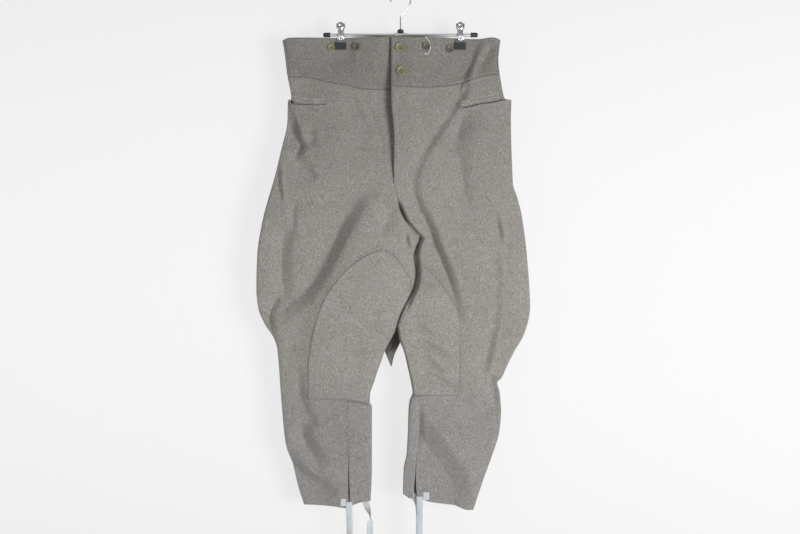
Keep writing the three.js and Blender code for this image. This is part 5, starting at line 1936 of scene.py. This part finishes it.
@dataclass(frozen=True)
class ClipJaw:
    """One sprung jaw of a clip: a domed head with a pressed ring, a waist with two grooves, and a flared foot."""

    clip: str
    place: str
    x: float
    sign: int  # of Y, on the jaw's outer side
    rows: int = 72
    columns: int = 32
    thickness: float = 0.0009
    head: float = -0.0728  # height of the ring's middle
    ring: float = 0.0042
    ring_rise: float = 0.0009
    ring_reach: float = 0.0011
    dimple: float = 0.0016
    dimple_reach: float = 0.0021
    waist_start: Span = (0.0055, 0.0085)  # depths below the head
    groove_x: float = 0.0021
    groove: float = 0.0008  # depth and reach
    groove_foot: float = 0.098  # depths below the hook at which the grooves and the curve across begin to end
    curve_foot: float = 0.095
    foot: float = 0.103
    curve: float = 0.002
    profile: Rows = ((-65.5, 2.2, 6), (-66.2, 3.8, 6.1), (-68, 5.7, 6.1), (-71.5, 7, 6.1), (-75, 7, 6.1),
                     (-78.5, 6, 6.2), (-83, 5.3, 6.2), (-88, 5.2, 6.1), (-93, 5.8, 5.8), (-98.5, 7.2, 4.8),
                     (-103, 8.4, 4.4), (-105.5, 8.4, 4.4))

    def build(self, finish: Material) -> Object:
        """The dressed jaw."""
        profile = metres(*self.profile)
        z = np.linspace(profile[0, 0], profile[-1, 0], self.rows + 1)[:, None]
        half, y = Curve(profile, 1)(z), Curve(profile, 2)(z)
        u = np.linspace(-1, 1, self.columns + 1)[None, :]
        x, z = u * half, z + 0 * u
        around = np.hypot(x, z - self.head)
        below = ramp(self.head - z, *self.waist_start) * (1 - ramp(-z, self.groove_foot, self.foot))
        curved = self.curve * (1 - u ** 2) * (1 - ramp(-z, self.curve_foot, self.foot))
        grooves = self.groove * below * (bump(x - self.groove_x, self.groove) + bump(x + self.groove_x, self.groove))
        pressed = self.ring_rise * bump(around - self.ring, self.ring_reach)
        pressed = pressed - self.dimple * bump(around, self.dimple_reach)
        y = y + curved - grooves + pressed
        outer = np.stack([self.x + x, self.sign * y, z], -1)
        inner = np.stack([self.x + x, self.sign * (y - self.thickness), z], -1)
        name = f"{self.clip}_{self.place}_jaw"
        return dress(shell(f"{name}_plate", outer, inner, crisp=60), Slot.CHROME, finish, name)


@dataclass(frozen=True)
class BarCap:
    """The rounded rubber cap on one end of the hanger's bar, a skin turned about the bar from its bore outwards."""

    side: Side
    height: float = -0.09
    profile: Rows = ((151.4, 0.3), (151.4, 3.4), (146, 3.4), (140.5, 3.4), (140.3, 4.2), (140.7, 4.6), (141.6, 4.9),
                     (142.8, 4.9), (143.6, 4.6), (146, 4.6), (150, 4.6), (152.2, 4.5), (153.4, 4.1), (154.1, 3.4),
                     (154.5, 2.2), (154.6, 0.3))
    around: int = 40

    def build(self, finish: Material) -> Object:
        """The dressed cap."""
        rows = metres(*self.profile)
        turn = angles(self.around)[None, :]
        x, radius = rows[:, :1], rows[:, 1:]
        y, z = radius * np.cos(turn), self.height + radius * np.sin(turn)
        rings = np.stack([self.side.out * x + 0 * turn, y, z], -1)
        name = f"hanger_cap_{self.side.value}"
        return dress(tube(f"{name}_rubber", rings, crisp=60), Slot.RUBBER, finish, name)


def finish_hanger(finishes: Finishes) -> None:
    """Builds the jaws and caps, and gives the hanger's other CAD nodes their finishes; their shapes stay."""
    for side in Side:
        BarCap(side).build(finishes.rubber)
        for where, sign in (("front", -1), ("back", 1)):
            ClipJaw(f"clip_{side.value}", where, side.out * FORM.clip_place, sign).build(finishes.chrome)
    clips = [f"clip_{side.value}" for side in Side]
    chrome = ["hanger_hook", *[f"{clip}_spring_barrel" for clip in clips]]
    black = ["hanger_ferrule", *[f"{clip}_{part}" for clip in clips for part in ("front_pad", "back_pad")]]
    finished = ((chrome, finishes.chrome), (black, finishes.rubber), (["hanger_bar", "hanger_sleeve"], finishes.satin))
    for names, finish in finished:
        for name in names:
            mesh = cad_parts[name].data
            mesh.materials.clear()
            mesh.materials.append(finish)


# ---- camera, light and surroundings


EYE = (-0.001, -2.222, -0.554)


def set_camera() -> None:
    """A level camera in front of the garment, at the height of the thighs."""
    camera = add_object("camera", bpy.data.cameras.new("camera"))
    camera.location = EYE
    camera.rotation_euler = (math.pi / 2, 0.0, 0.0)
    camera.data.lens = 50.0
    camera.data.sensor_width = 36.0
    bpy.context.scene.camera = camera


@dataclass(frozen=True)
class Studio:
    """A plain white wall close behind the garment, which is lit from behind too, a pale floor, and soft light."""

    wall_y: float = 0.048
    wall_half: float = 1.6
    wall_top: float = 0.6
    floor_z: float = -2.1
    floor_half: float = 3.0
    wall_colour: Triple = (0.12, 0.12, 0.12)
    key: tuple[Triple, float, float] = ((1.95, -2.45, -0.85), 1.3, 106.5)  # place, size and power
    fill: tuple[Triple, float, float] = ((-1.9, -1.9, -0.3), 1.2, 10.0)
    aim: Triple = (0.0, 0.0, -0.6)
    world_back: float = 2.6
    world_seen: float = 0.9
    world_low: float = 0.14  # as a light, from below
    world_high: float = 0.5  # and from above
    wall_glow: float = 0.765
    wall_painted_falloff: float = 0.055  # how much of that glow is lost at a height of fall_reach above or below the eye, as painted shade
    fall_reach: float = 0.53
    fall_most: float = 1.5

    def wall_material(self) -> Material:
        """White on its front to the camera, and clear from behind and to every other ray; its white is mostly a glow
        of its own, dimmed above and below the eye as painted shade.
        """
        made = bpy.data.materials.new("white_wall")
        made.use_nodes = True
        nodes = Nodes(made.node_tree)
        nodes.tree.nodes.clear()
        front = nodes.maths("SUBTRACT", 1.0, nodes.add("NewGeometry")["Backfacing"])
        shown = nodes.times(nodes.add("LightPath")["Is Camera Ray"], front)
        lit = nodes.add("BsdfDiffuse", {"Color": opaque(self.wall_colour)})["BSDF"]
        # Painted shade: the glow falls off with height above or below the eye.
        off = nodes.times(nodes.plus(nodes.axis("Z"), -EYE[2]), 1 / self.fall_reach)
        fall = nodes.maths("MINIMUM", nodes.times(off, off), self.fall_most)
        least = self.wall_glow * (1 - self.fall_most * self.wall_painted_falloff)
        glowing = nodes.window(fall, 0.0, self.fall_most, self.wall_glow, least)
        glow = nodes.add("Emission", {"Strength": glowing})["Emission"]
        white = nodes.add("AddShader", {0: lit, 1: glow})["Shader"]
        clear = nodes.add("BsdfTransparent")["BSDF"]
        mix = nodes.add("MixShader", {0: shown, 1: clear, 2: white})["Shader"]
        nodes.add("OutputMaterial", {"Surface": mix})
        return made

    def sheet(self, name: str, corners: Rows, finish: Material) -> None:
        """A flat four-cornered surface that isn't part of the object."""
        mesh = bpy.data.meshes.new(name)
        mesh.from_pydata(corners, [], [(0, 1, 2, 3)])
        mesh.materials.append(finish)
        add_object(name, mesh)

    def lamp(self, name: str, spot: Triple, size: float, power: float) -> None:
        """A square soft light, turned towards the garment.

        Args:
            name: the lamp's name.
            spot: where it stands.
            size: the length of its sides.
            power: its power in watts.
        """
        light = bpy.data.lights.new(name, "AREA")
        light.shape = "SQUARE"
        light.size = size
        light.energy = power
        made = add_object(name, light)
        made.location = spot
        made.rotation_euler = (Vector(self.aim) - Vector(spot)).to_track_quat("-Z", "Y").to_euler()

    def world(self) -> None:
        """White to the camera, and as a light a soft one, brighter from above and from behind the wall."""
        world = bpy.data.worlds.new("studio")
        world.use_nodes = True
        nodes = Nodes(world.node_tree)
        above = nodes.window(nodes.axis("Z", "Generated"), -0.5, 0.5, self.world_low, self.world_high)
        behind = nodes.window(nodes.axis("Y", "Generated"), 0.1, 0.6, 1.0, self.world_back)
        seen = nodes.add("LightPath")["Is Camera Ray"]
        strength = nodes.add("Mix", {0: seen, 2: nodes.times(above, behind), 3: self.world_seen})[0]
        white = opaque((1.0, 1.0, 1.0))
        nodes.feed(nodes.tree.nodes["Background"].inputs, {"Strength": strength, "Color": white})
        bpy.context.scene.world = world

    def build(self) -> None:
        """Puts up the wall, the floor, the lights and the world."""
        y, floor, x, far = self.wall_y, self.floor_z, self.wall_half, self.floor_half
        wall = ((-x, y, floor), (x, y, floor), (x, y, self.wall_top), (-x, y, self.wall_top))
        self.sheet("wall", wall, self.wall_material())
        ground = ((-far, -far, floor), (far, -far, floor), (far, far, floor), (-far, far, floor))
        self.sheet("floor", ground, FloorFinish("pale_floor").build())
        self.lamp("key", *self.key)
        self.lamp("fill", *self.fill)
        self.world()
        bpy.context.scene.view_settings.view_transform = "Standard"


def main() -> None:
    """Builds the whole scene: camera and tapes first, then the cloth, the small pieces, the hanger and the studio."""
    logging.basicConfig(level=logging.INFO, format="%(message)s")
    set_camera()
    finishes = Finishes()
    for tape in TAPES:
        tape.build(finishes.tape)
    for end in TAPE_ENDS:
        end.build(finishes.tape)
    for side in Side:
        FrontPanel(side).build(finishes.wool)
        BackPanel(side).build(finishes.wool)
        Waistband(side, back=False).build(finishes.band)
        Waistband(side, back=True).build(finishes.band)
        ShinPanel(side).build(finishes.wool)
        PocketFacing(side).build(finishes.wool)
        KneePatch(side).build(finishes.patch)
    ButtonStand().build(finishes.wool)
    SeatFold().build(finishes.fold)
    for button in BUTTONS:
        button.build(finishes.olive if button.slot is Slot.OLIVE_BUTTON else finishes.brown, finishes.button_thread)
    Seamwork().build(finishes)
    LooseThread().build(finishes.pale_thread)
    finish_hanger(finishes)
    Studio().build()


if __name__ == "__main__":
    main()
